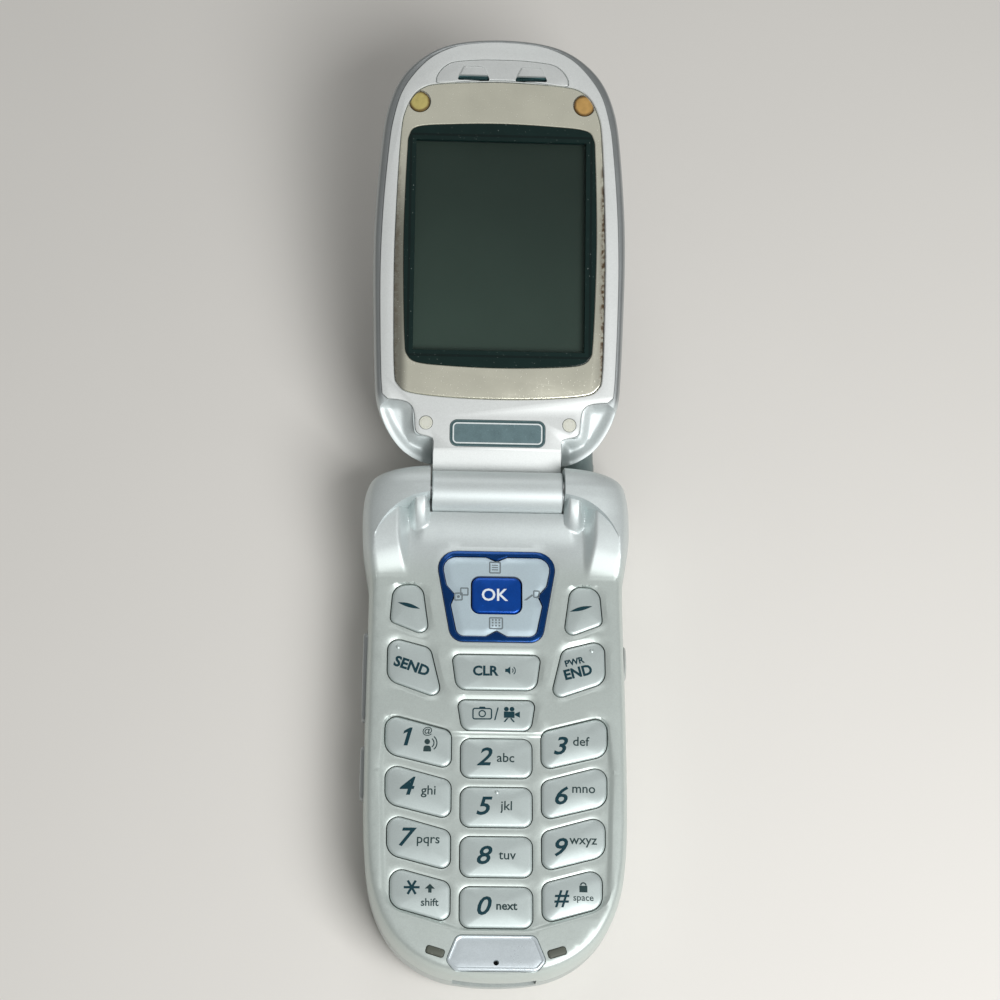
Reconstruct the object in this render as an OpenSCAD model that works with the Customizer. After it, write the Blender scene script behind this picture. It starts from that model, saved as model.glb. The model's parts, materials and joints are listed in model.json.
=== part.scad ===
// Folding telephone, drawn open as it lies on its back.
// X runs across the phone, Y along it from the chin to the lid, Z up from the back of the base.
// The origin is on the back of the base, straight under the hinge axis.
// All sizes are in millimetres.

/* [Base] */
// Hinge axis to the chin end of the base
base_len = 87.6; // [86:0.1:90]
// Width of the base at its side walls
base_w = 46.2; // [45:0.1:47]
// Width over the two hinge shoulders
shoulder_w = 48.8; // [48:0.1:50]
// Height of the hinge axis above the back
hinge_z = 16; // [15.8:0.1:16.4]
// Height of the joint line between rear housing and front cover
seam_z = 8; // [7.8:0.1:8.2]
// Wall thickness of the base housing
wall = 1.4; // [1.2:0.1:1.6]

/* [Lid] */
// Hinge axis to the top end of the lid
lid_len = 86.2; // [84:0.1:88]
// Width of the lid at its widest
lid_w = 47; // [46:0.1:48]
// Thickness of the lid
lid_t = 11.3; // [11:0.1:12]
// Angle by which the open lid rises above the base
lid_rise = 15.65; // [12:0.05:18]
// Gap between base and lid when shut
shut_gap = 0.6; // [0.5:0.05:0.8]

/* [Hinge] */
// Radius of the lid's hinge barrel
barrel_r = 4; // [3.8:0.05:4.2]
// Length of the hinge barrel
barrel_len = 23.7; // [23:0.1:24]
// Radius of the hinge shaft
shaft_r = 1.5; // [1.3:0.05:1.6]
// Radius of the bore through the barrel
barrel_bore_r = 2.6; // [2.4:0.05:2.7]

/* [Display] */
// Width of the lit area of the main display
lcd_w = 31.8; // [30:0.1:33]
// Height of the lit area of the main display
lcd_h = 39.8; // [38:0.1:41]
// Hinge axis to the middle of the main display
lcd_mid = 46.4; // [45:0.1:48]

/* [Keys] */
// Travel of a key
key_travel = 0.4; // [0.3:0.05:0.45]
// Gap round a key in its hole
key_gap = 0.18; // [0.15:0.01:0.25]
// Pitch of the number rows
row_pitch = 8.7; // [8.6:0.05:8.8]
// Width of a key in the middle column
mid_key_w = 12.4; // [12:0.1:12.6]
// Height of a key in the middle column
mid_key_h = 7; // [6.6:0.1:7.2]

/* [Battery and antenna] */
// Width of the battery pack
pack_w = 36.4; // [35:0.1:36.8]
// Length of the battery pack
pack_len = 56; // [54:0.1:57]
// Thickness of the battery pack
pack_t = 4.8; // [4.5:0.1:4.9]
// Radius of the antenna stub
stub_r = 3.2; // [3:0.1:3.3]
// Distance by which the stub stands out behind the hinge axis
stub_reach = 14; // [13:0.1:15]
// Length of the whip inside the base
whip_len = 76; // [70:1:78]

/* [Hidden] */
$fn = 48;

deck_z = hinge_z - shut_gap / 2;      // top of the rim round the keys
well_z = deck_z - 0.8;                // sunk floor of the keypad
under_z = well_z - 1.2;               // underside of the keypad floor
key_top = deck_z - 0.05;
flange_z = under_z - 0.75;            // underside of the keys' flanges
mat_z = flange_z - key_travel - 0.6;  // underside of the rubber mat
board_z = mat_z - 0.85;               // underside of the main board
face_h = -shut_gap / 2;               // inner face of the lid, from the hinge axis
back_h = face_h - lid_t + 0.3;        // outer face of the lid
slot_x = barrel_len / 2 + 0.3;        // inner faces of the shoulders
pack_y = -pack_len / 2 - 22;          // middle of the battery pack
bay_z = pack_t + 0.15;                // roof of the battery bay
room_z = bay_z + 0.75;                // floor of the room for the boards
room_y0 = -base_len + 7.4;            // chin end of the rooms inside the base
room_y1 = -10.6;                      // hinge end of the rooms inside the base
whip_z = 6.8;                         // height of the antenna's axis
whip_r = 0.8;
stub_x = 15.5;                        // antenna's axis, to the right of the middle
stub_y = 3.5;                         // root of the stub's outer part
jack_y = -30.6;                       // headset socket
jack_z = 10.35;
jack_r = 2;
rocker_y = -34;                       // volume rocker
voice_y = -51.6;                      // voice key
side_key_z = 11;                      // height of the two side keys
nav_y = -19.6;                        // middle of the navigation pad
screw_places = [[-19, -8.6], [19, -8.6], [-10.5, -base_len + 6], [10.5, -base_len + 6]];
lid_screw_places = [[-15.4, 73.5], [15.4, 73.5], [-13.2, 12.95], [13.2, 12.95]];
badge_y = 11.15;                      // middle of the badge plate, in the lid's frame
camera_y = 69;                        // camera and flash, in the lid's frame

// ---- outlines -------------------------------------------------------------

// A smooth curve through the points p, with n steps between two of them
function point(p, i) = p[max(0, min(len(p) - 1, i))];
function curve_at(a, b, c, d, t) =
    0.5 * (2 * b + (c - a) * t + (2 * a - 5 * b + 4 * c - d) * t * t
           + (3 * b - a - 3 * c + d) * t * t * t);
function smooth(p, n = 3) = concat(
    [for (i = [0 : len(p) - 2], k = [0 : n - 1])
        curve_at(point(p, i - 1), p[i], p[i + 1], point(p, i + 2), k / n)],
    [p[len(p) - 1]]);

// A right-hand half outline and its mirror image, as one closed outline
function both(half) = concat(half,
    [for (i = [len(half) - 1 : -1 : 0]) if (half[i][0] > 0.01) [-half[i][0], half[i][1]]]);
function flipped(p) = [for (i = [len(p) - 1 : -1 : 0]) [-p[i][0], p[i][1]]];

// An outline moved inward by d
function next(p, i) = p[(i + 1) % len(p)];
function prev(p, i) = p[(i + len(p) - 1) % len(p)];
function turn_out(v) = [v[1], -v[0]] / norm(v);
function inset(p, d) = [for (i = [0 : len(p) - 1])
    let (n1 = turn_out(p[i] - prev(p, i)), n2 = turn_out(next(p, i) - p[i]), m = n1 + n2)
    p[i] - m * (2 * d / (m * m))];

// Corners [x, y, radius] as a closed outline with round corners, counter-clockwise
function xy(c) = [c[0], c[1]];
function corner(a, b, c, r, n) =
    let (u = (a - b) / norm(a - b), v = (c - b) / norm(c - b), h = acos(u * v) / 2,
         m = b + (u + v) / norm(u + v) * r / sin(h), s = b + u * r / tan(h) - m,
         a0 = atan2(s[1], s[0]), w = 180 - 2 * h)
    [for (k = [0 : n]) m + r * [cos(a0 + w * k / n), sin(a0 + w * k / n)]];
function rounded(c, n = 4) = [for (i = [0 : len(c) - 1])
    each corner(xy(prev(c, i)), xy(c[i]), xy(next(c, i)), c[i][2], n)];
function box_outline(w, h, r, x = 0, y = 0) = rounded([
    [x - w / 2, y - h / 2, r], [x + w / 2, y - h / 2, r],
    [x + w / 2, y + h / 2, r], [x - w / 2, y + h / 2, r]]);

// A solid skinned over sections [outline, height], all outlines with as many points
module skin(sections) {
    n = len(sections[0][0]);
    m = len(sections);
    polyhedron(
        points = [for (s = sections) each [for (p = s[0]) [p[0], p[1], s[1]]]],
        faces = concat(
            [[for (i = [0 : n - 1]) i]],
            [[for (i = [n - 1 : -1 : 0]) (m - 1) * n + i]],
            [for (k = [0 : m - 2], i = [0 : n - 1]) each
                [[k * n + i, (k + 1) * n + i, (k + 1) * n + (i + 1) % n],
                 [k * n + i, (k + 1) * n + (i + 1) % n, k * n + (i + 1) % n]]]));
}

// A plate of an outline from height a to height b
module plate(outline, a, b) {
    translate([0, 0, a]) linear_extrude(b - a) polygon(outline);
}

// A bar along X with a profile in Y and Z
module bar(profile, x0, x1) {
    translate([x0, 0, 0]) rotate([90, 0, 90]) linear_extrude(x1 - x0) polygon(profile);
}

// A cylinder along X, centred on a height
module rod_x(r, x0, x1, y = 0, z = 0) {
    translate([x0, y, z]) rotate([0, 90, 0]) cylinder(r = r, h = x1 - x0);
}

module block(x0, x1, y0, y1, z0, z1) {
    translate([x0, y0, z0]) cube([x1 - x0, y1 - y0, z1 - z0]);
}

// The lid's own frame: X across, Y from the hinge axis to the top, Z out of the inner face
module on_lid() {
    translate([0, 0, hinge_z]) rotate([lid_rise, 0, 0]) children();
}

// Half outline of the base at its side walls, from the chin round to the hinge end
bw = base_w / 2;
sw = shoulder_w / 2;
base_half = smooth([
    [0, -base_len], [0.23 * bw, -0.9965 * base_len], [0.44 * bw, -0.985 * base_len],
    [0.64 * bw, -0.957 * base_len], [0.80 * bw, -0.914 * base_len],
    [0.915 * bw, -0.853 * base_len], [0.975 * bw, -0.775 * base_len],
    [bw, -0.64 * base_len], [bw, -0.4 * base_len], [0.995 * bw, -0.215 * base_len],
    [sw - 0.9, -14], [sw - 0.15, -9], [sw, -4], [sw - 0.3, -0.5], [sw - 1.2, 2],
    [sw - 3.6, 3.6], [sw - 8, 4.8], [sw - 12.3, 5.3]], 2);
base_outline = both(concat(base_half, [[4, 5.3]]));

// Half outline of the lid, from the hinge end round to the top
lw = lid_w / 2;
lid_half = smooth([
    [11.9, 5.6], [14.6, 6.4], [17.4, 8.2], [19.6, 10.7], [21.4, 14], [0.956 * lw, 17.5],
    [0.972 * lw, 22], [0.988 * lw, 32], [lw, 44], [0.99 * lw, 54], [0.948 * lw, 67],
    [0.9 * lw, 73.2], [0.81 * lw, 78.2], [0.67 * lw, lid_len - 4.3], [0.49 * lw, lid_len - 1.7],
    [0.27 * lw, lid_len - 0.4], [0, lid_len]], 2);
lid_outline = both(concat([[4, 5.4]], lid_half));

// Half outline of the lid's inner cover, with its tab between the shoulders
tab_x = barrel_len / 2 - 0.1;
cover_half = concat(
    [[tab_x, barrel_r + 0.1], [tab_x, 9.8], [12.4, 10.4], [14.4, 10.8], [15.1, 11.6], [15.3, 14.4],
     [15.9, 16.1], [17.4, 17.1], [20.6, 17.3]],
    smooth([[21.3, 18.2], [21.6, 22], [21.95, 32], [22.1, 43], [21.75, 54], [20.9, 65],
            [20.2, 70], [18.8, 75], [16.4, 78.9], [13.2, 82.1], [9.2, 84.1], [5, 84.95],
            [0, 85.2]], 2));
cover_outline = both(cover_half);

bezel_outline = both(smooth([[0, 17.6], [9.2, 17.85], [16.2, 18.6], [18.4, 19.9], [19.1, 22.3],
    [19.4, 32], [19.5, 45], [19.15, 58], [18.6, 68], [17.9, 71.7], [16.4, 74.7], [14.3, 76.3],
    [11.6, 76.9], [6, 77.3], [0, 77.5]], 2));
window_outline = both(smooth([[0, 23.4], [9, 23.65], [15, 24.2], [16.9, 25.6], [17.35, 28],
    [17.7, 36], [17.9, 46], [17.8, 55], [17.5, 64], [17.2, 67], [15.6, 68.7], [9.3, 69.3],
    [0, 69.6]], 2));
grille_outline = both(smooth([[0, 77.9], [6, 77.7], [11.6, 77.1], [12.3, 77.8], [11.9, 79],
    [10.8, 80.3], [9, 81.2], [4.5, 81.7], [0, 81.8]], 2));

// Keys of the deck: closed outlines in plan
function slant_key(row, reach, sink) =
    let (y = -42.2 - row_pitch * 1.025 * row)
    rounded([[-reach, y - 6.6, 2.6], [-7.9, y - 9.4, 1.5], [-7.9, y - 2.6, 1.7],
             [-reach - 0.1, y + 0.45 - sink, 2.0]]);
function middle_key(row) = box_outline(mid_key_w, mid_key_h, 1.7, 0, -49.6 - row_pitch * row);
key1_outline = slant_key(0, 19.4, 0);
key4_outline = slant_key(1, 19.2, 0);
key7_outline = slant_key(2, 18.75, 0);
star_outline = slant_key(3, 18.1, 0.3);
soft_outline = rounded([[-19, -24.7, 1.2], [-12, -27.5, 1.4], [-13.4, -17.6, 2.2],
    [-18.5, -17.9, 2.4]]);
send_outline = rounded([[-19.3, -35.6, 2.6], [-9.5, -39.1, 1.4], [-11.8, -29.6, 1.9],
    [-19.3, -27.6, 1.9]]);
clear_outline = rounded([[-7, -37.2, 2], [7, -37.2, 2], [7.9, -30.7, 1.2], [-7.9, -30.7, 1.2]]);
camera_outline = rounded([[-6, -44.7, 1.8], [6, -44.7, 1.8], [6.9, -39.1, 1.2],
    [-6.9, -39.1, 1.2]]);
ring_outline = rounded([[-8.1, -28.4, 2.6], [8.1, -28.4, 2.6], [11.2, -11.2, 3.4],
    [-11.2, -11.2, 3.4]]);
pad_outline = inset(ring_outline, 1.15);
web_outline = rounded([[-6.6, -26, 1], [6.6, -26, 1], [8.6, -13.6, 1], [-8.6, -13.6, 1]]);
ok_outline = box_outline(8.8, 6.8, 1.4, 0, nav_y);
chin_outline = rounded([[-7.4, -86.3, 1.4], [7.4, -86.3, 1.4], [8.6, -84, 1.2], [6.2, -80.5, 1.2],
    [-6.2, -80.5, 1.2], [-8.6, -84, 1.2]]);
pack_outline = box_outline(pack_w, pack_len, 5, 0, pack_y);
badge_outline = box_outline(17.5, 4.9, 1, 0, badge_y);
lcd_outline = box_outline(lcd_w, lcd_h, 0.2, 0, lcd_mid);

function key_outlines() = [key1_outline, key4_outline, key7_outline, star_outline,
    flipped(key1_outline), flipped(key4_outline), flipped(key7_outline), flipped(star_outline),
    middle_key(0), middle_key(1), middle_key(2), middle_key(3), soft_outline,
    flipped(soft_outline), send_outline, flipped(send_outline), clear_outline, camera_outline];

// ---- base -----------------------------------------------------------------

module rear_housing() {
    color("silver") difference() {
        skin([[inset(base_outline, 2.4), 0], [inset(base_outline, 1.1), 0.7],
              [inset(base_outline, 0.3), 2.4], [base_outline, 5], [base_outline, seam_z]]);
        // battery bay
        plate(inset(pack_outline, -0.15), -1, bay_z);
        // room for the boards above the bay
        intersection() {
            plate(inset(base_outline, 2.2), room_z, seam_z + 1);
            block(-30, 30, room_y0, room_y1, 0, 20);
        }
        // latch slot
        block(-4.2, 4.2, -19.9, -12.6, -1, 3.3);
        block(-5.2, 5.2, -19.9, -12.6, 1.5, 3.3);
        // battery contact window
        block(-6.2, 6.2, -25.8, -23.4, 3, 7);
        antenna_bore();
        // charging socket
        block(-7.2, 7.2, -90, room_y0 + 0.3, 5.8, seam_z + 1);
        // screw wells
        for (p = screw_places) translate([p[0], p[1], -1]) {
            cylinder(r = 1.6, h = 3.2);
            cylinder(r = 0.9, h = 12);
        }
    }
}

// Seat of the stub and the rod's way in, cut from both halves of the housing
module antenna_bore() {
    translate([stub_x, stub_y, whip_z]) rotate([-90, 0, 0]) cylinder(r = stub_r, h = 4);
    translate([stub_x, -5.5, whip_z]) rotate([-90, 0, 0]) cylinder(r = 1.5, h = 12);
    translate([stub_x, room_y1 - 1, whip_z]) rotate([-90, 0, 0]) cylinder(r = 1.05, h = 8);
}

module housing_screws() {
    color("dimgray") for (p = screw_places) translate([p[0], p[1], 0]) {
        difference() {
            translate([0, 0, 0.9]) cylinder(r = 1.5, h = 1.3);
            translate([0, 0, 0.5]) cylinder(r = 0.7, h = 1.1, $fn = 6);
        }
        translate([0, 0, 2.2]) cylinder(r = 0.9, h = 8.8);
    }
}

// Body of revolution that closes each end of the hinge
module knuckle() {
    profile = concat([[0, slot_x]], smooth([[5.3, slot_x], [5.2, 14], [4.85, 16.4],
        [4.2, 19], [3.3, 21.3], [2, 22.9], [0, 23.6]], 3));
    translate([0, 0, hinge_z]) rotate([0, 90, 0]) rotate_extrude() polygon(profile);
}

// Raised lobe in front of the knuckle, which fills the lid's corner pocket when shut
module lobe() {
    plan = rounded([[17.2, -14.6, 1.6], [20.2, -16.3, 2.4], [sw - 1.3, -16.2, 1.6],
        [sw - 0.25, -8, 8], [sw - 0.4, -0.5, 1.2], [17.2, -0.5, 0.6]]);
    intersection() {
        skin([[plan, deck_z - 2], [inset(plan, 0.15), deck_z + 1.5],
              [inset(plan, 0.55), hinge_z + 4]]);
        bar([[-17, deck_z - 3], [1, deck_z - 3], [1, hinge_z + 3.4], [-2, hinge_z + 3.2],
             [-6.5, hinge_z + 2.3], [-11, hinge_z + 1.25], [-14.5, hinge_z + 0.3],
             [-17, hinge_z - 0.6]], 10, 30);
    }
    // small lobe beside the barrel
    plate(rounded([[12.9, -6.7, 0.9], [15.7, -6.7, 1.2], [15.7, -2, 0.3], [12.9, -2, 0.3]]),
        deck_z - 2, hinge_z + 1.2);
}

module front_cover() {
    color("silver") difference() {
        union() {
            skin([[base_outline, seam_z + 0.15], [base_outline, 11.6],
                  [inset(base_outline, 0.25), 14], [inset(base_outline, 0.65), 15.1],
                  [inset(base_outline, 1.3), deck_z]]);
            for (s = [0, 1]) mirror([s, 0, 0]) {
                knuckle();
                lobe();
            }
            // fairing in front of the barrel
            bar([[-9, deck_z - 0.5], [-4, deck_z - 0.5], [-4, hinge_z + 0.9], [-4.6, hinge_z + 0.85],
                 [-6.2, hinge_z + 0.35], [-7.6, hinge_z - 0.1], [-9, deck_z]], -slot_x, slot_x);
        }
        // trough of the barrel, and the way of the lid's neck behind it
        rod_x(barrel_r + 0.35, -slot_x, slot_x, 0, hinge_z);
        bar([[0, 11.65], [1.2, 11.55], [7, 8.1], [7, 24], [-4.35, 24], [-4.35, hinge_z],
             [0, hinge_z]], -slot_x, slot_x);
        // room under the deck
        intersection() {
            plate(inset(base_outline, wall), seam_z - 1, under_z);
            block(-30, 30, room_y0, room_y1, 0, 20);
        }
        // sunk floor of the keypad
        plate(rounded([[-20.6, -52, 8], [-19.6, -76, 5], [-6, -80, 3], [6, -80, 3], [19.6, -76, 5],
            [20.6, -52, 8], [19.9, -41.5, 1.6], [8.4, -44.9, 1.2], [-8.4, -44.9, 1.2],
            [-19.9, -41.5, 1.6]]), well_z, deck_z + 1);
        // key holes
        for (k = key_outlines()) plate(inset(k, -key_gap), under_z - 1, deck_z + 1);
        plate(inset(ring_outline, -0.05), under_z - 1, deck_z + 1);
        // seat of the chin panel, with the sound hole to the microphone
        plate(inset(chin_outline, -0.1), deck_z - 0.9, deck_z + 1);
        translate([0, -85.1, under_z - 1]) cylinder(r = 0.5, h = 5);
        translate([0, -84.2, seam_z + 1]) cylinder(r = 1.5, h = under_z - seam_z - 0.85);
        // seats of the bumpers
        for (s = [-1, 1]) translate([s * 10.3, -83.3, deck_z - 0.8]) rotate([0, 0, s * 17])
            linear_extrude(2) polygon(box_outline(3.3, 1.5, 0.5));
        // hinge bores
        rod_x(shaft_r, -20.5, -slot_x + 1, 0, hinge_z);
        rod_x(barrel_bore_r - 0.1, slot_x - 1, 19.5, 0, hinge_z);
        antenna_bore();
        // holes in the side walls
        block(-26, -20, rocker_y - 8.6, rocker_y + 8.6, side_key_z - 1.75, side_key_z + 1.75);
        block(-26, -20, voice_y - 5.2, voice_y + 5.2, side_key_z - 1.75, side_key_z + 1.75);
        rod_x(jack_r + 0.05, 20, 26, jack_y, jack_z);
        block(20, 26, jack_y - jack_r - 0.05, jack_y + jack_r + 0.05, seam_z - 1, jack_z);
        // charging socket
        block(-7.2, 7.2, -90, room_y0 + 0.3, seam_z - 1, seam_z + 1.6);
        // screw pilots
        for (p = screw_places) translate([p[0], p[1], seam_z - 1]) cylinder(r = 0.9, h = 4.2);
    }
}

module chin_panel() {
    color("lightsteelblue") difference() {
        plate(chin_outline, deck_z - 0.9, deck_z + 0.05);
        translate([0, -85.1, deck_z - 2]) cylinder(r = 0.5, h = 4);
    }
}

module deck_bumpers() {
    color("olive") for (s = [-1, 1]) translate([s * 10.3, -83.3, deck_z - 0.8])
        rotate([0, 0, s * 17]) linear_extrude(1.1) polygon(box_outline(3.1, 1.3, 0.45));
}

module keypad_mat() {
    color("gray") difference() {
        plate(rounded([[-20, -74, 6], [-9, -79.8, 3], [9, -79.8, 3], [20, -74, 6], [20, -14, 3],
            [-20, -14, 3]]), mat_z, mat_z + 0.55);
        // room for the headset socket and for the tipping pad
        block(8, 22, jack_y - 3.2, jack_y + 3.2, mat_z - 1, mat_z + 2);
        block(-9.2, 9.2, -28, -12, mat_z - 1, mat_z + 2);
    }
}

module main_board() {
    color("darkgreen") difference() {
        plate(rounded([[-20, -74, 5], [-10, -79.8, 2], [10, -79.8, 2], [20, -74, 5], [20, -12, 2],
            [-20, -12, 2]]), board_z, board_z + 0.8);
        block(7, 22, jack_y - 3.2, jack_y + 3.2, board_z - 1, board_z + 2);
    }
}

module shield_cans() {
    color("lightgray") {
        block(-17, 6, -42, -16, board_z - 2, board_z);
        block(-17, 17, -68, -45, board_z - 2, board_z);
    }
}

module battery_contacts() {
    color("gold") {
        block(-6, 6, -25.7, -23.5, 5, 6.6);
        for (i = [-1.5 : 1 : 1.5]) block(i * 3 - 0.5, i * 3 + 0.5, -25, -24.2, 4.95, 5);
    }
}

module microphone() {
    color("gray") translate([0, -84.2, under_z - 1.6]) cylinder(r = 1.4, h = 1.7);
}

module vibration_motor() {
    color("silver") {
        rod_x(1.4, -13, -5, -73, 8.4);
        rod_x(0.5, -5, -3.9, -73, 8.4);
        difference() {
            rod_x(1.7, -3.9, -1.6, -73, 8.4);
            block(-4, -1, -75, -71, 8.9, 11);
        }
    }
}

module system_connector() {
    color("gray") difference() {
        block(-7, 7, -85.6, -80, 6, 9.4);
        block(-6, 6, -87, -81, 6.8, 8.6);
    }
}

module headset_jack() {
    color("gray") difference() {
        rod_x(jack_r, 9.5, bw - 0.5, jack_y, jack_z);
        rod_x(1.27, 11, 30, jack_y, jack_z);
    }
}

module antenna_stub() {
    color("slategray") difference() {
        union() {
            translate([stub_x, stub_y, whip_z]) rotate([-90, 0, 0])
                cylinder(r = stub_r, h = stub_reach - stub_y);
            translate([stub_x, -5.5, whip_z]) rotate([-90, 0, 0]) cylinder(r = 1.5, h = 10);
        }
        translate([stub_x, -6, whip_z]) rotate([-90, 0, 0]) cylinder(r = whip_r + 0.06, h = 30);
    }
}

module antenna_whip() {
    color("dimgray") {
        translate([stub_x, stub_reach - whip_len, whip_z]) rotate([-90, 0, 0])
            cylinder(r = whip_r, h = whip_len + 0.5);
        translate([stub_x, stub_reach + 0.3, whip_z]) rotate([-90, 0, 0]) rotate_extrude()
            polygon(concat([[0, 0]], smooth([[2.6, 0], [2.75, 0.8], [2.5, 2], [1.7, 2.8],
                [0, 3.1]], 3)));
    }
}

module hinge_shaft() {
    color("silver") rod_x(shaft_r, -20.5, -4.5, 0, hinge_z);
}

module hinge_bush() {
    color("silver") difference() {
        rod_x(barrel_bore_r - 0.1, 5.5, 19.5, 0, hinge_z);
        rod_x(1.7, 0, 30, 0, hinge_z);
    }
}

// ---- battery --------------------------------------------------------------

module battery_case() {
    color("silver") difference() {
        skin([[inset(pack_outline, 0.5), 0], [pack_outline, 0.5], [pack_outline, pack_t]]);
        block(-pack_w / 2 + 1.2, pack_w / 2 - 1.2, pack_y - pack_len / 2 + 1.5,
            pack_y + pack_len / 2 - 4.5, 1, 3.9);
        // thumb grip
        for (i = [0 : 3]) block(-6, 6, -27 - i * 1.4, -26.4 - i * 1.4, -1, 0.4);
    }
}

module battery_cell() {
    color("gray") block(-pack_w / 2 + 1.5, pack_w / 2 - 1.5, pack_y - pack_len / 2 + 1.8,
        pack_y + pack_len / 2 - 4.8, 1.1, 3.8);
}

module battery_latch() {
    color("gray") difference() {
        union() {
            block(-3.9, 3.9, -19.6, -14.6, 0.2, 1.5);
            block(-4.9, 4.9, -19.6, -14.6, 1.65, 3.1);
            block(-3.9, 3.9, -19.6, -14.6, 1.4, 1.7);
        }
        for (i = [0 : 3]) block(-2.6, 2.6, -18.9 + i * 1.1, -18.4 + i * 1.1, 0, 0.5);
    }
}

// ---- side pieces ----------------------------------------------------------

module side_key(y, length) {
    color("silver") {
        hull() {
            block(-bw - 0.1, -bw + 1.9, y - length / 2, y + length / 2, side_key_z - 1.5,
                side_key_z + 1.5);
            block(-bw - 0.75, -bw, y - length / 2 + 1, y + length / 2 - 1, side_key_z - 1,
                side_key_z + 1);
        }
        block(-bw + 1.85, -bw + 2.5, y - length / 2 - 0.7, y + length / 2 + 0.7,
            side_key_z - 1.4, side_key_z + 1.4);
    }
}

module volume_rocker() { side_key(rocker_y, 16.6); }

module voice_key() { side_key(voice_y, 9.8); }

module jack_cover() {
    color("dimgray") {
        hull() {
            translate([bw + 0.2, jack_y - 0.9, jack_z]) rotate([0, 90, 0])
                cylinder(r = 2.3, h = 0.45, $fn = 32);
            translate([bw + 0.2, jack_y + 0.9, jack_z]) rotate([0, 90, 0])
                cylinder(r = 2.3, h = 0.45, $fn = 32);
            translate([bw + 0.2, jack_y, jack_z]) rotate([0, 90, 0])
                cylinder(r = 1.8, h = 0.9, $fn = 32);
        }
    }
}

// ---- keys -----------------------------------------------------------------

module key(outline, top = key_top) {
    color("lightgray") {
        skin([[outline, flange_z + 0.7], [outline, top - 0.4], [inset(outline, 0.3), top - 0.1],
              [inset(outline, 0.8), top]]);
        plate(inset(outline, -0.35), flange_z, flange_z + 0.7);
    }
}

module nav_ring() {
    color("mediumblue") difference() {
        plate(ring_outline, under_z - 0.2, deck_z + 0.2);
        plate(inset(ring_outline, 0.95), under_z - 1, deck_z + 1);
    }
}

module nav_web() {
    color("gray") difference() {
        plate(web_outline, flange_z - 0.35, flange_z);
        plate(inset(ok_outline, -0.6), flange_z - 1, flange_z + 1);
    }
}

module nav_pad() {
    color("lightgray") difference() {
        skin([[inset(pad_outline, 0.1), flange_z + 0.5], [inset(pad_outline, 0.1), deck_z - 0.2],
              [inset(pad_outline, 0.5), deck_z + 0.05]]);
        plate(inset(ok_outline, -0.25), flange_z - 1, deck_z + 1);
    }
}

module ok_key() {
    color("blue") {
        skin([[ok_outline, flange_z + 0.3], [ok_outline, deck_z - 0.15],
              [inset(ok_outline, 0.4), deck_z + 0.1]]);
        translate([0, nav_y, mat_z + 0.4]) cylinder(r = 1.3, h = flange_z + 0.4 - mat_z - 0.4);
    }
}

// ---- lid ------------------------------------------------------------------

// The lid's outline at a depth, drawn in and lifted off the hinge end
function lid_section(draw_in, lift) = let (p = inset(lid_outline, draw_in))
    [for (q = p) [q[0], q[1] + lift * max(0, 1 - max(0, q[1] - 5) / 34)]];

// Corner pocket over the lobe of the base
module corner_pocket() {
    plate(rounded([[15.6, -4, 0.3], [30, -4, 0.3], [30, 17.45, 0.3], [17.4, 17.35, 0.3],
        [15.8, 16, 0.5]]), -1.6, 2);
    bar([[-4, 2], [-4, -5.2], [3, -4.9], [7, -4], [12, -2.9], [17, -1.6], [17.3, 2]], 15.6, 30);
    bar([[-4, 2], [-4, -4.2], [6, -3.4], [10.6, -2.6], [10.6, 2]], tab_x + 0.1, 16);
}

module lid_housing() {
    color("silver") on_lid() difference() {
        union() {
            skin([[lid_section(5, 15), back_h], [lid_section(2.2, 10), back_h + 1],
                  [lid_section(0.8, 5), back_h + 3], [lid_section(0.15, 1.5), back_h + 5.6],
                  [lid_section(0, 0), back_h + 7.6], [lid_section(0.1, 0), face_h - 1.4],
                  [lid_section(0.7, 0), face_h - 0.35]]);
            rod_x(barrel_r, -barrel_len / 2, barrel_len / 2);
            bar([[1, -3.85], [3.6, -3.1], [3.6, -2.5], [14, -2.5], [14, -9], [9, -8.2]],
                -barrel_len / 2, barrel_len / 2);
        }
        // seat of the inner cover and of its tab
        plate(inset(cover_outline, -0.08), face_h - 1.45, 2);
        block(-tab_x - 0.05, tab_x + 0.05, barrel_r, 10, face_h - 2.2, 2);
        // room inside, with bosses left standing for the screws
        difference() {
            intersection() {
                skin([[lid_section(6.2, 16), back_h + 1.3], [lid_section(2.4, 6), back_h + 4.5],
                      [lid_section(2.2, 4), face_h]]);
                block(-30, 30, 20, 90, -12, 2);
            }
            for (p = lid_screw_places) translate([p[0], p[1], -12]) cylinder(r = 1.9, h = 14);
        }
        for (p = lid_screw_places) lid_screw_hole(p);
        // bore for the hinge
        rod_x(barrel_bore_r, -20, 20);
        // corner pockets
        corner_pocket();
        mirror([1, 0, 0]) corner_pocket();
        // outer window, camera and flash
        plate(box_outline(24.4, 20.4, 3, 0, 47), back_h - 1, back_h + 0.8);
        plate(box_outline(20, 16, 2, 0, 47), back_h - 1, back_h + 3);
        translate([0, camera_y, back_h - 1]) cylinder(r = 4.1, h = 5);
        translate([9, camera_y, back_h - 1]) cylinder(r = 1.4, h = 5);
    }
}

module lid_screw_hole(p) {
    translate([p[0], p[1], face_h - 1.65]) cylinder(r = 1.3, h = 3);
    translate([p[0], p[1], face_h - 6]) cylinder(r = 0.7, h = 6);
}

module lid_screws() {
    color("dimgray") on_lid() for (p = lid_screw_places) translate([p[0], p[1], 0]) {
        difference() {
            translate([0, 0, face_h - 1.6]) cylinder(r = 1.2, h = 0.6);
            translate([0, 0, face_h - 1.3]) cylinder(r = 0.6, h = 1, $fn = 6);
        }
        translate([0, 0, face_h - 5.8]) cylinder(r = 0.7, h = 4.3);
    }
}

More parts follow.
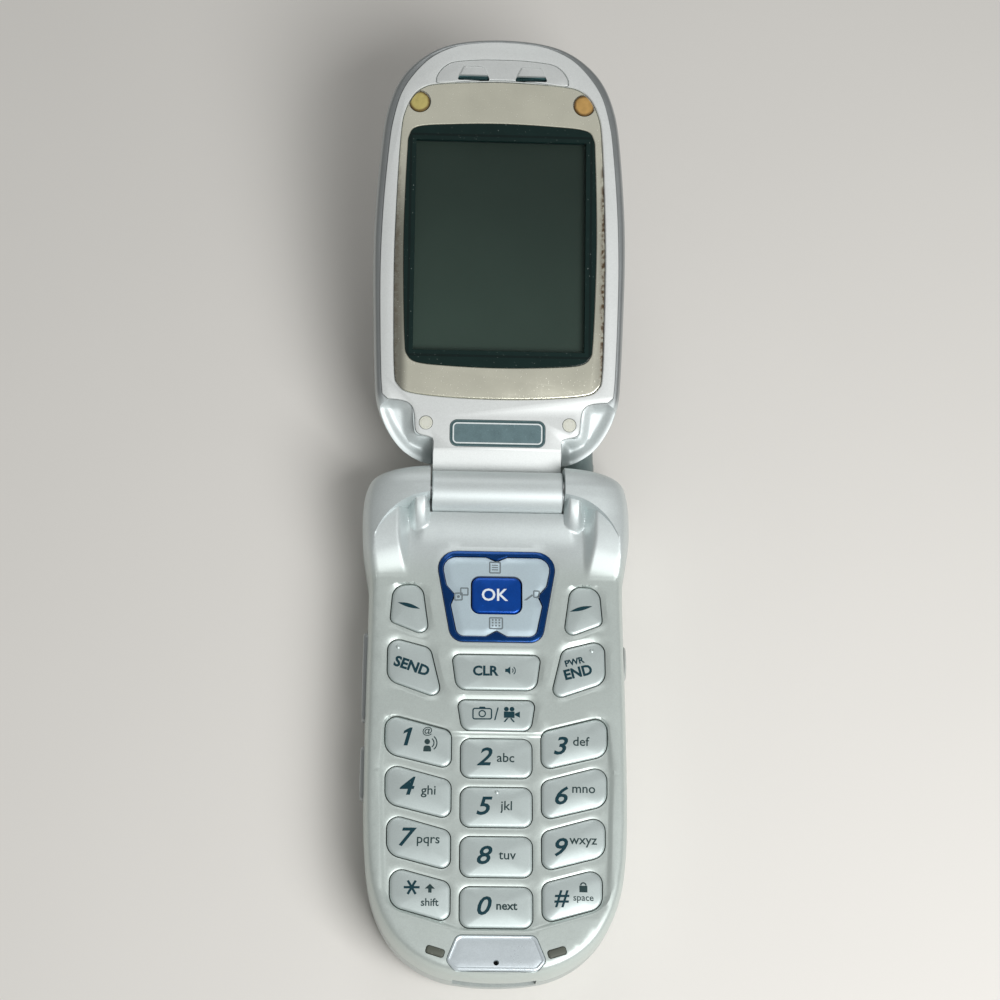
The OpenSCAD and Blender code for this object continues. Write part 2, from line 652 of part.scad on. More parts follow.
module lid_cover() {
    color("gainsboro") on_lid() difference() {
        union() {
            plate(cover_outline, face_h - 1.35, face_h);
            block(-tab_x, tab_x, barrel_r + 0.1, 9.9, face_h - 2.1, face_h - 1.3);
        }
        // the tab slopes back to clear the fairing
        bar([[3, 1], [3, face_h - 1.2], [4.6, face_h - 0.95], [6.2, face_h - 0.4],
             [7.6, face_h - 0.001], [7.6, 1]], -20, 20);
        // seat of the bezel and opening of the display
        plate(inset(bezel_outline, -0.15), face_h - 0.95, 1);
        plate(inset(lcd_outline, -0.6), face_h - 2, 1);
        // seat and sound hole of the earpiece
        plate(inset(grille_outline, -0.08), face_h - 0.7, 1);
        block(-8, 8, 78, 79.2, -3, 1);
        for (p = lid_screw_places) lid_screw_hole(p);
        // badge seat
        plate(inset(badge_outline, -0.06), face_h - 0.5, 1);
    }
}

module mirror_bezel() {
    color("tan") on_lid() difference() {
        plate(bezel_outline, face_h - 0.9, face_h - 0.1);
        plate(inset(window_outline, -0.05), -3, 1);
        for (p = lid_screw_places) if (p[1] > lcd_mid)
            translate([p[0], p[1], -3]) cylinder(r = 2, h = 4);
    }
}

module display_window() {
    color("darkslategray", 0.4) on_lid() plate(window_outline, face_h - 0.9, face_h - 0.15);
}

module display_module() {
    color("darkolivegreen") on_lid() {
        difference() {
            plate(box_outline(35, 46.5, 1, 0, lcd_mid + 0.1), face_h - 4.4, face_h - 1.45);
            plate(lcd_outline, face_h - 1.75, face_h);
        }
        // small second display behind the outer window
        plate(box_outline(22, 18, 1, 0, 47), back_h + 1.6, face_h - 5.45);
    }
}

module earpiece_panel() {
    color("gainsboro") on_lid() difference() {
        plate(grille_outline, face_h - 0.7, face_h - 0.02);
        for (s = [0, 1]) mirror([s, 0, 0])
            plate(rounded([[2.7, 78.1, 0.3], [8.1, 78.1, 0.3], [8.1, 78.9, 0.3], [2.7, 78.9, 0.3]]),
                -3, 1);
    }
}

module earpiece() {
    color("gray") on_lid() plate(box_outline(13, 5.6, 1.5, 0, 76.4), face_h - 4.2, face_h - 1.4);
}

module screw_plugs() {
    on_lid() {
        // the upper pair is cut to the bezel's curve
        color("gold") intersection() {
            plate(inset(bezel_outline, 0.1), face_h - 0.9, face_h - 0.15);
            for (p = lid_screw_places) if (p[1] > lcd_mid)
                translate([p[0], p[1], -3]) cylinder(r = 1.9, h = 4);
        }
        color("silver") for (p = lid_screw_places) if (p[1] < lcd_mid)
            translate([p[0], p[1], face_h - 0.9]) cylinder(r = 1.25, h = 0.88);
    }
}

module badge_plate() {
    color("cadetblue") on_lid() plate(badge_outline, face_h - 0.5, face_h + 0.02);
}

module lid_board() {
    color("darkgreen") on_lid() plate(box_outline(34, 48, 2, 0, 47), face_h - 5.4, face_h - 4.7);
}

module outer_window() {
    color("black", 0.5) on_lid() {
        plate(box_outline(24.2, 20.2, 2.9, 0, 47), back_h + 0.05, back_h + 0.8);
        // lens of the flash
        translate([9, camera_y, back_h + 0.1]) cylinder(r = 1.35, h = 1.1);
    }
}

module camera_module() {
    color("black") on_lid() {
        translate([0, camera_y, back_h + 0.7]) cylinder(r = 2.6, h = 3.6);
        plate(box_outline(7, 7, 0.5, 0, camera_y), back_h + 4.2, back_h + 5.2);
    }
}

module camera_ring() {
    color("silver") on_lid() translate([0, camera_y, 0]) difference() {
        translate([0, 0, back_h - 0.3]) cylinder(r = 4.05, h = 2.4);
        translate([0, 0, back_h - 1]) cylinder(r = 2.65, h = 5);
    }
}

module hinge_cartridge() {
    color("gray") on_lid() difference() {
        rod_x(barrel_bore_r, -barrel_len / 2, -2);
        rod_x(shaft_r + 0.05, -20, -4);
    }
}

rear_housing();
front_cover();
chin_panel();
deck_bumpers();
keypad_mat();
main_board();
shield_cans();
battery_contacts();
microphone();
vibration_motor();
system_connector();
headset_jack();
antenna_stub();
housing_screws();
hinge_shaft();
hinge_bush();
nav_ring();
battery_case();
battery_cell();
battery_latch();
jack_cover();
antenna_whip();
volume_rocker();
voice_key();
key(key1_outline);  // key_1
key(middle_key(0));  // key_2
key(flipped(key1_outline));  // key_3
key(key4_outline);  // key_4
key(middle_key(1));  // key_5
key(flipped(key4_outline));  // key_6
key(key7_outline);  // key_7
key(middle_key(2));  // key_8
key(flipped(key7_outline));  // key_9
key(star_outline);  // key_star
key(middle_key(3));  // key_0
key(flipped(star_outline));  // key_hash
key(soft_outline);  // soft_left
key(flipped(soft_outline));  // soft_right
key(send_outline);  // send_key
key(flipped(send_outline));  // end_key
key(clear_outline);  // clear_key
key(camera_outline);  // camera_key
nav_web();
nav_pad();
ok_key();
lid_cover();
lid_housing();
mirror_bezel();
display_window();
display_module();
earpiece_panel();
earpiece();
screw_plugs();
lid_screws();
badge_plate();
lid_board();
outer_window();
camera_module();
camera_ring();
hinge_cartridge();
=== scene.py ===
"""Folding telephone, lying open on its back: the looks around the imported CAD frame.

Shapes are drawn in millimetres and become metres once, when a shape turns into a piece.
Shapes of the lid are drawn in the lid's own frame: X across, Y from the hinge axis to the top,
Z out of the inner face.
"""

import json
import math

import bmesh
import bpy
import numpy as np
from mathutils import Matrix, Vector
from mathutils.bvhtree import BVHTree
from mathutils.geometry import delaunay_2d_cdt


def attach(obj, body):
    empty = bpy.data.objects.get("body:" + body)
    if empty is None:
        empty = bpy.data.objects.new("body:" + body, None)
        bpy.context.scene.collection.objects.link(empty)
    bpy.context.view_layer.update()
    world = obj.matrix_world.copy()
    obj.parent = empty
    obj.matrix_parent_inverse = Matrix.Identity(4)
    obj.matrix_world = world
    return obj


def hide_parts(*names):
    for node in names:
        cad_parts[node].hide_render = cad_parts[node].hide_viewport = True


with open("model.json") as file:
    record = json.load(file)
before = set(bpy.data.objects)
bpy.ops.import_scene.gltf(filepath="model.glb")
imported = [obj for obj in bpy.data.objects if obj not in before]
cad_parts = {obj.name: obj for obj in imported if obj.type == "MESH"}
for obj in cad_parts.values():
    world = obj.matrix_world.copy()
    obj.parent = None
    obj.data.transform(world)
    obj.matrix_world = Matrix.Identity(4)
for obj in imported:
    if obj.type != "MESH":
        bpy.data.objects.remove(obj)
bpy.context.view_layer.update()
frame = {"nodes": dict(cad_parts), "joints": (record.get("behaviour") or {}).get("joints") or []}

bl_info = {
    "name": "Folding Telephone",
    "version": (1, 0, 0),
    "blender": (4, 5, 0),
    "location": "3D View > Sidebar > Telephone",
    "description": "Builds the pieces of a folding telephone around its CAD frame",
    "category": "Object",
}

# ---- sizes taken from the frame ----------------------------------------------------------

MM = 0.001


def corners(node, into=Matrix.Identity(4)):
    """Lowest and highest corner of a CAD node, in millimetres, in a frame of one's choice."""
    points = [into @ (vertex.co / MM) for vertex in frame["nodes"][node].data.vertices]
    return np.min(points, axis=0), np.max(points, axis=0)


FOLD = next(joint for joint in frame["joints"] if joint["name"] == "lid_fold")
HINGE_Z = FOLD["pos_m"][2] / MM
LID_RISE = math.radians(180 - FOLD["range_deg"][1])
ON_LID = Matrix.Translation((0, 0, HINGE_Z)) @ Matrix.Rotation(LID_RISE, 4, "X")
OFF_LID = ON_LID.inverted()

BASE_LEN = -corners("rear_housing")[0][1]
SEAM_Z = corners("rear_housing")[1][2]
SHOULDER = corners("front_cover")[1][0]
BASE_HALF = SHOULDER - 1.3
DECK_Z = corners("key_2")[1][2] + 0.05
MAT_TOP = corners("keypad_mat")[1][2]
NAV_Y = (corners("ok_key")[0][1] + corners("ok_key")[1][1]) / 2
BARREL_X = -corners("hinge_cartridge")[0][0]
BORE_R = corners("hinge_cartridge")[1][1]
SHAFT_R = corners("hinge_shaft")[1][1]
LID_LEN = corners("lid_housing", OFF_LID)[1][1]
LID_HALF = corners("lid_housing", OFF_LID)[1][0]
BACK = corners("lid_housing", OFF_LID)[0][2]
BARREL_R = -corners("lid_housing", OFF_LID)[0][1]
FACE = corners("lid_cover", OFF_LID)[1][2]
PACK_LOW, PACK_HIGH = corners("battery_case")
WHIP_Z = (corners("antenna_stub")[0][2] + corners("antenna_stub")[1][2]) / 2
STUB_X = (corners("antenna_stub")[0][0] + corners("antenna_stub")[1][0]) / 2
STUB_R = (corners("antenna_stub")[1][0] - corners("antenna_stub")[0][0]) / 2
STUB_END = corners("antenna_stub")[1][1]
JACK_Y = (corners("headset_jack")[0][1] + corners("headset_jack")[1][1]) / 2
JACK_Z = (corners("headset_jack")[0][2] + corners("headset_jack")[1][2]) / 2

# ---- sizes of the drawing ----------------------------------------------------------------

WALL = 1.4                      # wall of the front cover
REAR_WALL = 2.2                 # wall of the rear housing
SLOT_X = BARREL_X + 0.3         # inner faces of the shoulders
TAB_X = BARREL_X - 0.1          # half width of the cover's tab
WELL_DEPTH = 0.55               # the number keys' floor below the deck
UNDER_Z = DECK_Z - 2.0          # underside of the deck
RING_TOP = DECK_Z + 0.2         # top of the ring round the pad
FLANGE_Z = MAT_TOP + 0.45       # underside of the keys
KEY_GAP = 0.17                  # gap round a key
ROW_PITCH = 8.7                 # pitch of the number rows
SIDE_PITCH = ROW_PITCH * 1.025  # pitch of the outer columns
TROUGH_R = BARREL_R + 0.12      # hollow of the base round the barrel
ROOM_Y = (-BASE_LEN + 7.4, -10.6)
SIDE_KEY_Z = SEAM_Z + 3.0
SIDE_KEYS = {"volume_rocker": (-34.0, 16.6), "voice_key": (-51.6, 9.8)}
STUB_Y = 3.5
SOCKET_HALF = 7.2               # half width of the charging socket
SCREWS = [(-19, -8.6), (19, -8.6), (-10.5, -BASE_LEN + 6), (10.5, -BASE_LEN + 6)]
LID_SCREWS = [(-15.4, 73.5), (15.4, 73.5), (-13.2, 12.95), (13.2, 12.95)]
MIC_Y = -85.1
LATCH_Y = (-19.6, -14.6)
BADGE_Y = 11.15
LCD_Y = 46.4
LCD_SIZE = (31.8, 39.8)         # lit part of the display
OUTER_WINDOW_Y = 47
OUTER_WINDOW_SIZE = (24.2, 20.2)
HOOD_X = 5.4                    # middle of an earpiece slot
CAMERA_Y = 69.0
FLASH_X = 9.0
OUTLINE_STEPS = 5               # points between two points of a smooth outline
ARC_STEPS = 7                   # points round a corner
SHARP = math.radians(34)        # edges that turn more than this stay crisp
SUNK_KEYS = [f"key_{mark}" for mark in (*"1234567890", "star", "hash")]

# ---- outlines ----------------------------------------------------------------------------


def smooth(points, steps=OUTLINE_STEPS):
    """A smooth curve through the points; one that starts or ends on the middle line meets it square."""
    p = np.array(points, float)
    first = p[1] * (-1, 1) if abs(p[0][0]) < 1e-9 else p[0]
    last = p[-2] * (-1, 1) if abs(p[-1][0]) < 1e-9 else p[-1]
    padded = np.vstack([first, p, last])
    made = []
    for a, b, c, d in zip(padded, padded[1:], padded[2:], padded[3:]):
        for t in np.arange(steps) / steps:
            bend = (2 * a - 5 * b + 4 * c - d) * t**2 + (3 * b - a - 3 * c + d) * t**3
            made.append(0.5 * (2 * b + (c - a) * t + bend))
    return np.array(made + [p[-1]])


def both(half):
    """A right-hand half outline and its mirror image, as one closed outline."""
    half = np.array(half, float)
    return np.vstack([half, half[half[:, 0] > 0.01][::-1] * (-1, 1)])


def flipped(outline):
    """The mirror image of an outline."""
    return outline[::-1] * (-1, 1)


def inset(outline, depth):
    """An outline moved inward by a depth, which may differ from point to point."""
    def outward(edge):
        return np.column_stack([edge[:, 1], -edge[:, 0]]) / np.linalg.norm(edge, axis=1)[:, None]

    before = outward(outline - np.roll(outline, 1, axis=0))
    after = outward(np.roll(outline, -1, axis=0) - outline)
    middle = before + after
    return outline - middle * (2 * depth / (middle**2).sum(1))[:, None]


def rounded(points, steps=ARC_STEPS):
    """Corners (x, y, radius) as a closed outline with round corners, counter-clockwise."""
    made = []
    for i, (x, y, radius) in enumerate(points):
        here = np.array([x, y])
        u = np.array(points[i - 1][:2]) - here
        v = np.array(points[(i + 1) % len(points)][:2]) - here
        u = u / np.linalg.norm(u)
        v = v / np.linalg.norm(v)
        half = math.acos(u @ v) / 2
        centre = here + (u + v) / np.linalg.norm(u + v) * radius / math.sin(half)
        first = here + u * radius / math.tan(half) - centre
        turn = math.copysign(math.pi - 2 * half, u[1] * v[0] - u[0] * v[1])
        for angle in math.atan2(first[1], first[0]) + turn * np.linspace(0, 1, steps + 1):
            made.append(centre + radius * np.array([math.cos(angle), math.sin(angle)]))
    return np.array(made)


def box_outline(width, height, radius, x=0.0, y=0.0):
    """A rectangle with round corners about a centre."""
    w = width / 2
    h = height / 2
    return rounded([(x - w, y - h, radius), (x + w, y - h, radius), (x + w, y + h, radius),
                    (x - w, y + h, radius)])


def circle(radius, x=0.0, y=0.0, steps=40):
    """A circle as a closed outline."""
    turn = np.arange(steps) / steps * 2 * math.pi
    return np.column_stack([x + radius * np.cos(turn), y + radius * np.sin(turn)])


def signed_distance(points, loop):
    """Distance of each point from a closed loop, positive inside it."""
    ends = np.roll(loop, -1, axis=0)
    edge = ends - loop
    rise = np.where(np.abs(edge[:, 1]) < 1e-12, 1e-12, edge[:, 1])
    found = []
    for part in np.array_split(points, max(1, len(points) // 2000)):
        off = part[:, None] - loop[None]
        along = np.clip((off * edge).sum(2) / (edge**2).sum(1), 0, 1)
        gap = np.linalg.norm(off - along[..., None] * edge, axis=2).min(1)
        crossed = (loop[:, 1] <= part[:, None, 1]) != (ends[:, 1] <= part[:, None, 1])
        right = loop[:, 0] + edge[:, 0] * off[..., 1] / rise > part[:, None, 0]
        found.append(np.where((crossed & right).sum(1) % 2 == 1, gap, -gap))
    return np.concatenate(found)


def ease(x):
    """Rises smoothly from 0 to 1 as x does."""
    x = np.clip(x, 0, 1)
    return x * x * (3 - 2 * x)


# The base from the chin up, in parts of its half width and length, then the shoulder in millimetres
CHIN_SIDE = np.array([
    (0, -1), (0.23, -0.9965), (0.44, -0.985), (0.64, -0.957), (0.80, -0.914), (0.915, -0.853),
    (0.975, -0.775), (1, -0.64), (1, -0.4), (0.995, -0.215)]) * (BASE_HALF, BASE_LEN)
SHOULDER_SIDE = np.array([
    (-0.9, -14), (-0.15, -9), (0, -4), (-0.3, -0.5), (-1.2, 2), (-3.6, 3.6), (-8, 4.8),
    (-12.3, 5.3)]) + (SHOULDER, 0)
BASE_OUTLINE = both(np.vstack([smooth(np.vstack([CHIN_SIDE, SHOULDER_SIDE])), [(4, 5.3)]]))
LID_SIDE = np.array([
    (0.956, 17.5), (0.972, 22), (0.988, 32), (1, 44), (0.99, 54), (0.948, 67), (0.9, 73.2),
    (0.81, 78.2), (0.67, LID_LEN - 4.3), (0.49, LID_LEN - 1.7), (0.27, LID_LEN - 0.4),
    (0, LID_LEN)]) * (LID_HALF, 1)
LID_OUTLINE = both(np.vstack([[(4, 5.4)], smooth([
    (11.9, 5.6), (14.6, 6.4), (17.4, 8.2), (19.6, 10.7), (21.4, 14), *LID_SIDE])]))
COVER_OUTLINE = both(np.vstack([
    [(TAB_X, BARREL_R + 0.1), (TAB_X, 9.6)],
    smooth([(TAB_X + 0.2, 10.15), (12.9, 10.5), (14.2, 10.8), (14.9, 11.3), (15.15, 12.2),
            (15.3, 14.4), (15.9, 16.1), (17.4, 17.0), (20.3, 17.3)], 3),
    smooth([(21.3, 18.2), (21.6, 22), (21.95, 32), (22.1, 43), (21.75, 54), (20.9, 65), (20.2, 70),
            (18.8, 75), (16.4, 78.9), (13.2, 82.1), (9.2, 84.1), (5, 84.95), (0, 85.2)])]))
BEZEL_OUTLINE = both(smooth([
    (0, 17.6), (9.2, 17.85), (16.2, 18.6), (18.4, 19.9), (19.1, 22.3), (19.4, 32), (19.5, 45),
    (19.15, 58), (18.6, 68), (17.9, 71.7), (16.4, 74.7), (14.3, 76.3), (11.6, 76.9), (6, 77.3),
    (0, 77.5)]))
WINDOW_OUTLINE = both(smooth([
    (0, 23.4), (9, 23.65), (15, 24.2), (16.9, 25.6), (17.35, 28), (17.7, 36), (17.9, 46),
    (17.8, 55), (17.5, 64), (17.2, 67), (15.6, 68.7), (9.3, 69.3), (0, 69.6)]))
GRILLE_OUTLINE = both(smooth([
    (0, 77.9), (6, 77.7), (11.6, 77.1), (12.3, 77.8), (11.9, 79), (10.8, 80.3), (9, 81.2),
    (4.5, 81.7), (0, 81.8)], 4))
WELL_OUTLINE = rounded([
    (-20.6, -52, 8), (-19.6, -76, 5), (-6, -80, 3), (6, -80, 3), (19.6, -76, 5), (20.6, -52, 8),
    (19.9, -41.5, 1.6), (8.4, -44.9, 1.2), (-8.4, -44.9, 1.2), (-19.9, -41.5, 1.6)])
RING_CORNERS = [(-8.1, NAV_Y - 8.8, 2.6), (8.1, NAV_Y - 8.8, 2.6), (11.2, NAV_Y + 8.4, 3.4),
                (-11.2, NAV_Y + 8.4, 3.4)]
RING_OUTLINE = rounded(RING_CORNERS)
OK_OUTLINE = box_outline(8.8, 6.8, 1.4, 0, NAV_Y)
CHIN_OUTLINE = rounded([
    (-7.0, -86.5, 1.6), (7.0, -86.5, 1.6), (8.45, -84.8, 1.0), (6.7, -80.5, 1.3),
    (-6.7, -80.5, 1.3), (-8.45, -84.8, 1.0)])
PACK_OUTLINE = box_outline(PACK_HIGH[0] - PACK_LOW[0], PACK_HIGH[1] - PACK_LOW[1], 5, 0,
                           (PACK_LOW[1] + PACK_HIGH[1]) / 2)
BADGE_OUTLINE = box_outline(17.5, 4.9, 1.35, 0, BADGE_Y)


def slant_key(row, reach, sink=0.0):
    """Outline of an outer number key of the left column."""
    y = -42.2 - SIDE_PITCH * row
    return rounded([(-reach, y - 6.6, 2.6), (-7.9, y - 9.4, 1.5), (-7.9, y - 2.6, 1.7),
                    (-reach - 0.1, y + 0.45 - sink, 2.0)])


def middle_key(row):
    """Outline of a number key of the middle column."""
    return box_outline(12.4, 7, 1.7, 0, -49.6 - ROW_PITCH * row)


SOFT_OUTLINE = rounded([(-19, -24.7, 1.2), (-12, -27.5, 1.4), (-13.4, -17.6, 2.2),
                        (-18.5, -17.9, 2.4)])
SEND_OUTLINE = rounded([(-19.3, -35.6, 2.6), (-9.5, -39.1, 1.4), (-11.8, -29.6, 1.9),
                        (-19.3, -27.6, 1.9)])
KEYS = {
    "key_1": slant_key(0, 19.4), "key_4": slant_key(1, 19.2), "key_7": slant_key(2, 18.75),
    "key_star": slant_key(3, 18.1, 0.3),
    "key_3": flipped(slant_key(0, 19.4)), "key_6": flipped(slant_key(1, 19.2)),
    "key_9": flipped(slant_key(2, 18.75)), "key_hash": flipped(slant_key(3, 18.1, 0.3)),
    "key_2": middle_key(0), "key_5": middle_key(1), "key_8": middle_key(2),
    "key_0": middle_key(3),
    "soft_left": SOFT_OUTLINE, "soft_right": flipped(SOFT_OUTLINE),
    "send_key": SEND_OUTLINE, "end_key": flipped(SEND_OUTLINE),
    "clear_key": rounded([(-7, -37.2, 2), (7, -37.2, 2), (7.9, -30.7, 1.2), (-7.9, -30.7, 1.2)]),
    "camera_key": rounded([(-6, -44.7, 1.8), (6, -44.7, 1.8), (6.9, -39.1, 1.2),
                           (-6.9, -39.1, 1.2)]),
}

# The dish round each hole of the deck: outline, depth and width
DISHES = [(outline, *((0.12, 0.35) if name in SUNK_KEYS else (0.38, 0.85)))
          for name, outline in KEYS.items()] + [(RING_OUTLINE, 0.16, 0.5)]

# ---- solids ------------------------------------------------------------------------------


def skin(loops, bottom=True, top=True):
    """Faces over loops of as many points each, the first at the bottom."""
    count = len(loops[0])
    faces = []
    for k in range(len(loops) - 1):
        for i in range(count):
            j = (i + 1) % count
            faces.append([k * count + i, k * count + j, (k + 1) * count + j, (k + 1) * count + i])
    if bottom:
        faces.append(list(range(count))[::-1])
    if top:
        faces.append([(len(loops) - 1) * count + i for i in range(count)])
    return np.vstack(loops), faces


def loft(*sections, **caps):
    """A part skinned over sections (outline, height)."""
    loops = [np.column_stack([o, np.broadcast_to(z, len(o))]) for o, z in sections]
    return skin(loops, **caps)


def stepped(outline, *steps):
    """A part whose sections are one outline moved inward; steps are (depth, height)."""
    return loft(*[(inset(outline, depth), z) for depth, z in steps])


def plate(outline, low, high):
    """A part of one outline from a height to another."""
    return loft((outline, low), (outline, high))


def block(x0, x1, y0, y1, z0, z1):
    """A box between two corners."""
    return plate(np.array([(x0, y0), (x1, y0), (x1, y1), (x0, y1)], float), z0, z1)


def bar(profile, x0, x1):
    """A part along X whose section is given in Y and Z."""
    profile = np.array(profile, float)
    return skin([np.column_stack([np.full(len(profile), x), profile]) for x in (x0, x1)])


def turned(profile, matrix=Matrix.Identity(4), steps=48):
    """A part turned about Z from (radius, height) pairs, then put in place."""
    return placed(loft(*[(circle(max(r, 0.01), steps=steps), z) for r, z in profile]), matrix)


def placed(part, matrix):
    """A part moved by a matrix."""
    m = np.array(matrix)
    return part[0] @ m[:3, :3].T + m[:3, 3], part[1]


def shifted(part, x, y, z=0.0):
    """A part moved by a distance."""
    return placed(part, upright(x, y, z))


def upright(x, y, z=0.0):
    """Matrix that stands a turned part on a point."""
    return Matrix.Translation((x, y, z))


def along_x(x, y, z):
    """Matrix that lays a turned part along +X from a point."""
    return upright(x, y, z) @ Matrix.Rotation(math.pi / 2, 4, "Y")


def along_y(x, y, z):
    """Matrix that lays a turned part along +Y from a point."""
    return upright(x, y, z) @ Matrix.Rotation(-math.pi / 2, 4, "X")


def rod(radius, length, matrix, steps=48):
    """A plain round part."""
    return turned([(radius, 0), (radius, length)], matrix, steps)


def sheet(border, height, step, lines=(), fine=()):
    """Triangles inside a border, lifted to height(points).

    Lines are (points, closed) that the triangles keep to, and fine is (x0, x1, y0, y1, step)
    for places with closer triangles.
    """
    def grid(x0, x1, y0, y1, size):
        rows = np.arange(y0, y1, size * 0.866)
        return np.vstack([np.column_stack([np.arange(x0, x1, size) + size / 2 * (k % 2),
                                           np.full(len(np.arange(x0, x1, size)), y)])
                          for k, y in enumerate(rows)])

    chains = [(border, True), *lines]
    edges = []
    start = 0
    for chain, closed in chains:
        count = len(chain)
        edges += [(start + i, start + (i + 1) % count) for i in range(count - (not closed))]
        start += count
    fixed = np.vstack([chain for chain, _ in chains])
    x0, y0 = border.min(0)
    x1, y1 = border.max(0)
    free = grid(x0, x1, y0, y1, step)
    for a, b, c, d, size in fine:
        outside = (free[:, 0] < a) | (free[:, 0] > b) | (free[:, 1] < c) | (free[:, 1] > d)
        free = np.vstack([free[outside], grid(a, b, c, d, size)])
    room = np.full(len(free), step)
    for a, b, c, d, size in fine:
        room[(free[:, 0] > a) & (free[:, 0] < b) & (free[:, 1] > c) & (free[:, 1] < d)] = size
    near = np.concatenate([
        np.linalg.norm(part[:, None] - fixed[None], axis=2).min(1)
        for part in np.array_split(free, max(1, len(free) // 1000))])
    free = free[(near > 0.5 * room) & (signed_distance(free, border) > 0.3 * room)]
    flat = [Vector(p) for p in np.vstack([fixed, free])]
    made, _, faces, *_ = delaunay_2d_cdt(flat, edges, [], 0, 1e-5)
    points = np.array(made)
    middles = np.array([points[list(f)].mean(0) for f in faces])
    keep = signed_distance(middles, border) > 0
    return np.column_stack([points, height(points)]), [f for f, k in zip(faces, keep) if k]


def topped(sections, height, step, **more):
    """Parts of a closed loft whose top is a sheet."""
    return loft(*sections, top=False), sheet(sections[-1][0], height, step, **more)


def mesh_of(parts):
    """Parts welded into one mesh with its faces turned outward."""
    shape = bmesh.new()
    for points, faces in parts:
        vertices = [shape.verts.new(p) for p in points]
        for face in faces:
            shape.faces.new([vertices[i] for i in face])
    bmesh.ops.remove_doubles(shape, verts=shape.verts, dist=1e-3)
    bmesh.ops.recalc_face_normals(shape, faces=shape.faces)
    mesh = bpy.data.meshes.new("shape")
    shape.to_mesh(mesh)
    shape.free()
    return mesh


class Solid:
    """A mesh in millimetres. Minus cuts something out of it, plus joins it on, & keeps what both have.

    The other one is a solid, a part or a list of parts.
    """

    def __init__(self, *parts):
        self.object = bpy.data.objects.new("shape", mesh_of(parts))
        bpy.context.scene.collection.objects.link(self.object)

    def combine(self, other, operation):
        if not isinstance(other, Solid):
            other = Solid(*(other if isinstance(other, list) else [other]))
        for one in (self, other):
            mesh = one.object.data
            uses = np.bincount([loop.edge_index for loop in mesh.loops], minlength=len(mesh.edges))
            if (uses != 2).any():
                raise RuntimeError("a shape isn't closed")
        modifier = self.object.modifiers.new("shape", "BOOLEAN")
        modifier.solver = "MANIFOLD"
        modifier.operation = operation
        modifier.object = other.object
        seen = bpy.context.evaluated_depsgraph_get()
        made = bpy.data.meshes.new_from_object(self.object.evaluated_get(seen))
        if not made.polygons:
            raise RuntimeError("a shape vanished")
        self.object.modifiers.clear()
        self.object.data = made
        bpy.data.objects.remove(other.object)
        return self

    def __sub__(self, other):
        return self.combine(other, "DIFFERENCE")

    def __add__(self, other):
        return self.combine(other, "UNION")

    def __and__(self, other):
        return self.combine(other, "INTERSECT")

    def part(self):
        """Points and faces of the solid as it is."""
        mesh = self.object.data
        return (np.array([v.co for v in mesh.vertices]),
                [list(face.vertices) for face in mesh.polygons])


def piece(name, body, solid, finish, replaces=(), second=None):
    """Turns a solid into a piece that rides on a body; pieces of the lid are drawn in its frame.

    second is (finish, test): faces whose centres in millimetres pass the test take that finish.
    """
    made = solid.object
    made.name = name
    made.data.name = name
    made.data.materials.clear()
    made.data.materials.append(finish)
    if second:
        made.data.materials.append(second[0])
        for face in made.data.polygons:
            face.material_index = int(second[1](face.center))
    made.data.transform(Matrix.Scale(MM, 4) @ (ON_LID if body == "lid" else Matrix.Identity(4)))
    made.data.shade_smooth()
    made.data.set_sharp_from_angle(angle=SHARP)
    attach(made, body)
    if replaces:
        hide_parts(*replaces)
    return made


def height_at(tree, x, y):
    """Height of the surface under a point."""
    hit = tree.ray_cast(Vector((x, y, 50)), Vector((0, 0, -1)))[0]
    return hit.z if hit else DECK_Z


def laid_on(parts, surface, rise):
    """Parts drawn flat at height 0, laid on a solid."""
    tree = BVHTree.FromPolygons(*surface.part())
    made = []
    for part in parts:
        lifted, faces = diced(part)
        for p in lifted:
            p[2] += rise + height_at(tree, p[0], p[1])
        made.append((lifted, faces))
    return made

# ---- finishes ----------------------------------------------------------------------------


class Value:
    """A socket on which arithmetic adds Math nodes."""

    def __init__(self, finish, socket):
        self.finish = finish
        self.socket = socket

    def __add__(self, other):
        return self.finish.math("ADD", self, other)

    def __sub__(self, other):
        return self.finish.math("SUBTRACT", self, other)

    def __rsub__(self, other):
        return self.finish.math("SUBTRACT", other, self)

    def __mul__(self, other):
        return self.finish.math("MULTIPLY", self, other)

    def __pow__(self, other):
        return self.finish.math("POWER", self, other)

    def __gt__(self, other):
        return self.finish.math("GREATER_THAN", self, other)

    def __abs__(self):
        return self.finish.math("ABSOLUTE", self)

    __radd__ = __add__
    __rmul__ = __mul__


